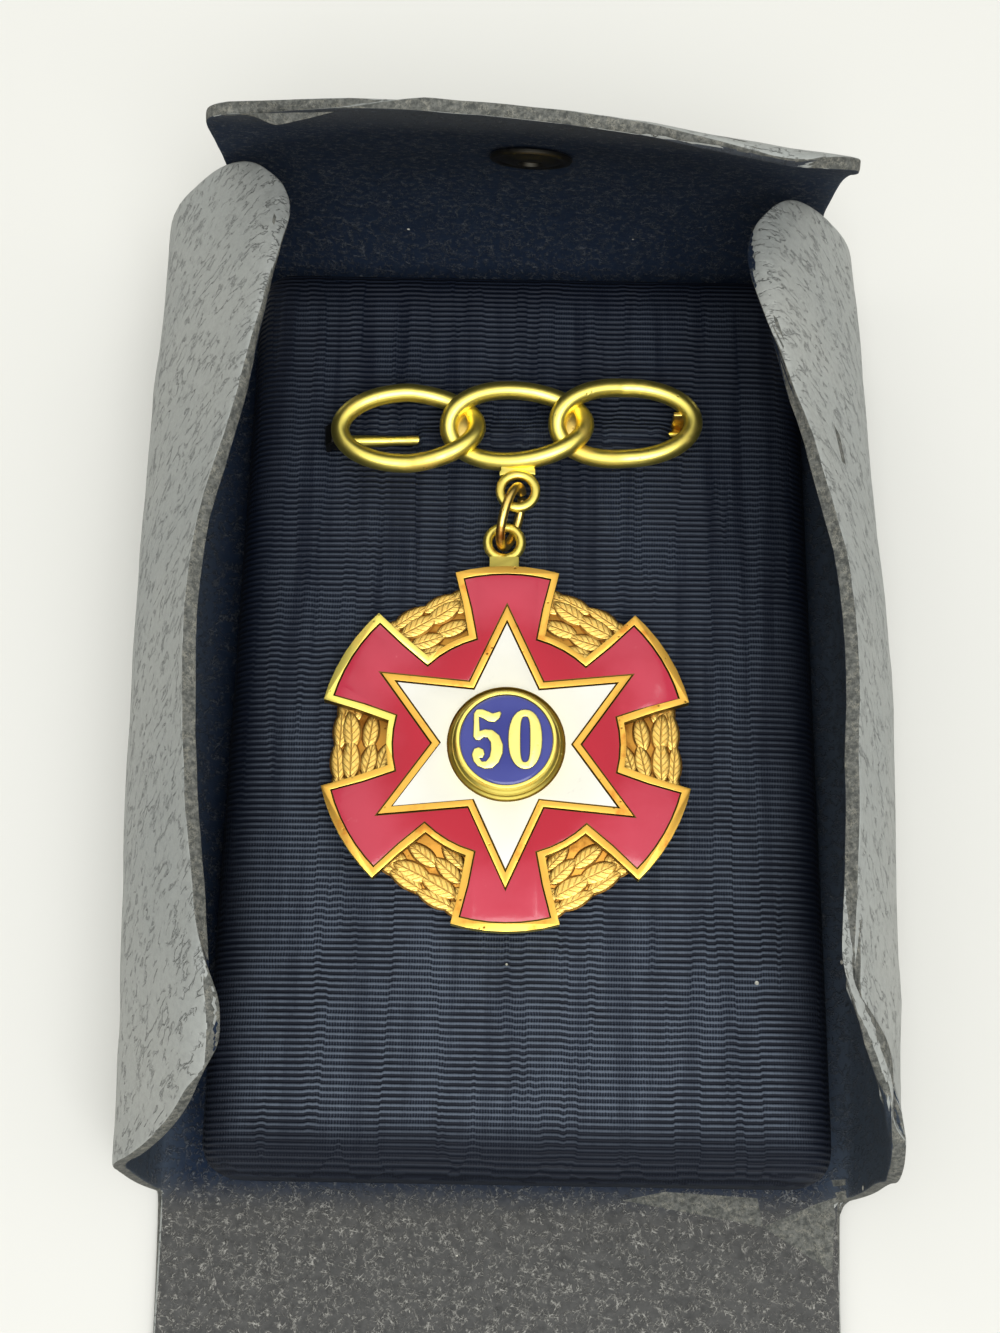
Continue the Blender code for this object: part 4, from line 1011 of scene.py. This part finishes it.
# %% Finishes: red, white and blue enamel
def enamel(name, thin_and_reflecting, thick, scuff, inner, outer):
    made, tree, shader, place = finish(name, 0.12, 0.0, Specular_IOR_Level=0.4)
    centred = stretched(tree, place, centre=MEDAL_MIDDLE)
    flat = node(tree, "VectorMath", {0: centred, 1: (1, 1, 0)}, operation="MULTIPLY")
    far = node(tree, "VectorMath", {0: flat.outputs[0]}, operation="LENGTH").outputs["Value"]
    cloud = noise(tree, place, 260.0, 3.0, 0.55)
    # Partly painted reflection: the outer parts of the fields take the paler colour.
    depth = calc(tree, "MULTIPLY_ADD", cloud, 0.9, band(tree, far, outer * MM, inner * MM))
    tone = blend(tree, band(tree, depth, 0.35, 1.3), thin_and_reflecting, thick)
    marks = band(tree, noise(tree, stretched(tree, place, size=(1, 2, 1), turn=(0, 0, -50)),
                             500.0, 6.0, 0.75), 0.62, 0.76)
    tone = blend(tree, calc(tree, "MULTIPLY", marks, 0.5), tone, scuff)
    wire_up(tree, shader, colour=tone, height=cloud, depth=0.05,
            rough=calc(tree, "MULTIPLY_ADD", marks, 0.3, 0.16))
    return made


red = enamel("red enamel", srgb(190, 58, 78), srgb(174, 18, 44), srgb(206, 104, 112), 7.0, 15.0)
white = enamel("white enamel", srgb(230, 229, 221), srgb(222, 220, 208), srgb(160, 159, 152),
               5.0, 12.0)
blue = enamel("blue enamel", srgb(62, 68, 142), srgb(44, 50, 128), srgb(104, 108, 164), 0.0, 4.5)
for node_name, name, colour, slot in (("red_enamel", "red_fields", red, "red_enamel"),
                                      ("white_enamel", "white_star", white, "white_enamel")):
    fields = copied(node_name, name)
    soften(fields, 0.1, angle=50)
    fields.data.materials.append(colour)
    fields.data.materials.append(seam_shade)
    # The fields' sides take the dark seam gilt, painted shade in the gap beside the borders.
    for face in fields.data.polygons:
        face.material_index = int(face.normal.z < 0.97)
    smooth(fields, 40)
    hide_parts(node_name)
    seat(fields)

# %% [markdown]
# The boss in the middle is a stepped round with a thin rim. Both it and the blue disc in its
# recess are turned from their sections, with every step's edge drawn as a small chamfer.

# %% The boss and its blue disc
FOOT = 11.49
boss_section = [(0, FOOT), (5.2, FOOT), (5.2, FOOT + 0.22), (5.08, FOOT + 0.34),
                (4.92, FOOT + 0.42), (4.86, FOOT + 0.5), (4.86, FOOT + 0.9), (4.76, FOOT + 1.02),
                (4.58, FOOT + 1.1), (4.5, FOOT + 1.2), (4.5, FOOT + 1.86), (4.44, FOOT + 1.97),
                (4.33, FOOT + 2.0), (4.22, FOOT + 1.97), (4.17, FOOT + 1.88), (4.17, FOOT + 1.55),
                (0, FOOT + 1.55)]
boss = turned("boss", boss_section, 96)
boss.data.materials.append(gilt)
smooth(boss, 40)
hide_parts("centre_boss")
seat(boss, MEDAL)
disc_section = [(0, 13.06), (4.14, 13.06), (4.14, 13.28), (4.06, 13.34), (3.8, 13.38),
                (3.0, 13.395), (0, 13.4)]
disc = turned("blue_disc", disc_section, 96)
disc.data.materials.append(blue)
smooth(disc, 50)
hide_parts("blue_enamel")
seat(disc, MEDAL)

# %% [markdown]
# The numerals keep their packed outlines and get a soft edge.

# %% The numerals
for node_name in ("numeral_five", "numeral_zero"):
    figure = copied(node_name, node_name.replace("numeral", "figure"))
    soften(figure, 0.07, angle=50)
    figure.data.materials.append(pale_gilt)
    smooth(figure, 40)
    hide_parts(node_name)
    seat(figure)

# %% [markdown]
# The press fastener has a domed socket with a rolled rim on the top flap, and a stud with a
# waist on the lying flap. The socket is turned upright and then laid against the flap's slope.

# %% The press fastener
SOCKET_PLACE = Vector((1.17, 43.70, 29.10))
SOCKET_FACING = Vector((-0.0438, -0.9344, -0.3535))
STUD_PLACE = Vector((0, -79.5, 0))
socket_section = [(0, -0.2), (3.5, -0.2), (3.68, -0.08), (3.7, 0.1), (3.55, 0.28), (3.3, 0.34),
                  (3.0, 0.26), (2.85, 0.2), (2.6, 0.26), (2.2, 0.4), (1.7, 0.52), (1.4, 0.55),
                  (1.2, 0.5), (1.05, 0.2), (0, 0.15)]
socket = turned("socket", socket_section)
socket.data.materials.append(black_brass)
smooth(socket, 40)
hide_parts("press_socket")
turn = Vector((0, 0, 1)).rotation_difference(SOCKET_FACING).to_matrix().to_4x4()
low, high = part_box("press_socket")
print("socket box", low, high)
seat(socket, Matrix.Translation(SOCKET_PLACE * MM) @ turn)
stud_section = [(0, 1.3), (3.5, 1.3), (3.7, 1.45), (3.65, 1.65), (3.3, 1.75), (1.8, 1.8),
                (1.55, 2.0), (1.5, 2.3), (1.7, 2.5), (1.75, 2.75), (1.5, 2.95), (0, 2.99)]
stud = turned("stud", stud_section)
stud.data.materials.append(brass)
smooth(stud, 40)
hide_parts("press_stud")
seat(stud, Matrix.Translation(STUD_PLACE * MM))

# %% [markdown]
# The floor is a plain pale surface, matte, with only the faintest mottling.

# %% The floor
lay_down_all()
bpy.ops.mesh.primitive_grid_add(x_subdivisions=4, y_subdivisions=4, size=6,
                                location=(0, 0, -0.0002))
floor = bpy.context.object
floor.name = "floor"
pale, tree, shader, place = finish("pale floor", 0.8, Specular_IOR_Level=0.2)
tone = blend(tree, noise(tree, place, 8.0), srgb(209, 209, 206), srgb(205, 205, 201))
wire_up(tree, shader, colour=tone)
floor.data.materials.append(pale)

# %% [markdown]
# The light is a soft overhead box, a little on the viewer's side of the case, with a weaker one
# from the far side. The surroundings are pale above and darker near the horizon, which draws the
# metal's form.

# %% Light
def soft_box(name, place, size, power):
    """Adds a light that looks at the middle of the case."""
    lay_down_all()
    bpy.ops.object.light_add(type="AREA", location=place)
    lamp = bpy.context.object
    lamp.name = name
    lamp.data.shape = "RECTANGLE"
    lamp.data.size, lamp.data.size_y = size
    lamp.data.energy = power
    lamp.rotation_euler = (-Vector(place)).to_track_quat("-Z", "Y").to_euler()


soft_box("window", (0.1, -0.4, 0.8), (0.6, 0.5), 5.8)
soft_box("far side", (-0.3, 0.75, 0.6), (0.6, 0.4), 1.0)
world = bpy.data.worlds.new("surroundings")
bpy.context.scene.world = world
world.use_nodes = True
ground = world.node_tree.nodes["Background"]
ray = node(world.node_tree, "TexCoord").outputs["Generated"]
height = node(world.node_tree, "SeparateXYZ", {"Vector": ray}).outputs["Z"]
sky = blend(world.node_tree, band(world.node_tree, height, 0.2, 0.95), srgb(160, 158, 150),
            srgb(255, 255, 250))
world.node_tree.links.new(sky, ground.inputs["Color"])
ground.inputs["Strength"].default_value = 1.15

# %% [markdown]
# The camera looks down from the near end, 17.6 degrees off straight down and rolled by one
# degree, from 185 mm above the surface.

# %% Camera
CAMERA_PLACE = Vector((-0.8, -53.35, 185.2))
tilt, roll = math.radians(17.6), math.radians(-1.0)
right = Vector((1, 0, 0))
upper = Vector((0, math.cos(tilt), math.sin(tilt)))
back = Vector((0, -math.sin(tilt), math.cos(tilt)))
across = math.cos(roll) * right - math.sin(roll) * upper
over = math.sin(roll) * right + math.cos(roll) * upper
lay_down_all()
bpy.ops.object.camera_add()
camera = bpy.context.object
camera.name = "camera"
facing = Matrix((across, over, back)).transposed().to_4x4()
camera.matrix_world = Matrix.Translation(CAMERA_PLACE * MM) @ facing
camera.data.lens = 54.0
camera.data.sensor_width = 36.0
camera.data.sensor_fit = "AUTO"
camera.data.clip_start = 0.01
camera.data.dof.use_dof = False
bpy.context.scene.camera = camera
bpy.context.scene.view_settings.view_transform = "Standard"

# %% [markdown]
# At the end nothing is left selected.

# %% Leave nothing selected
lay_down_all()
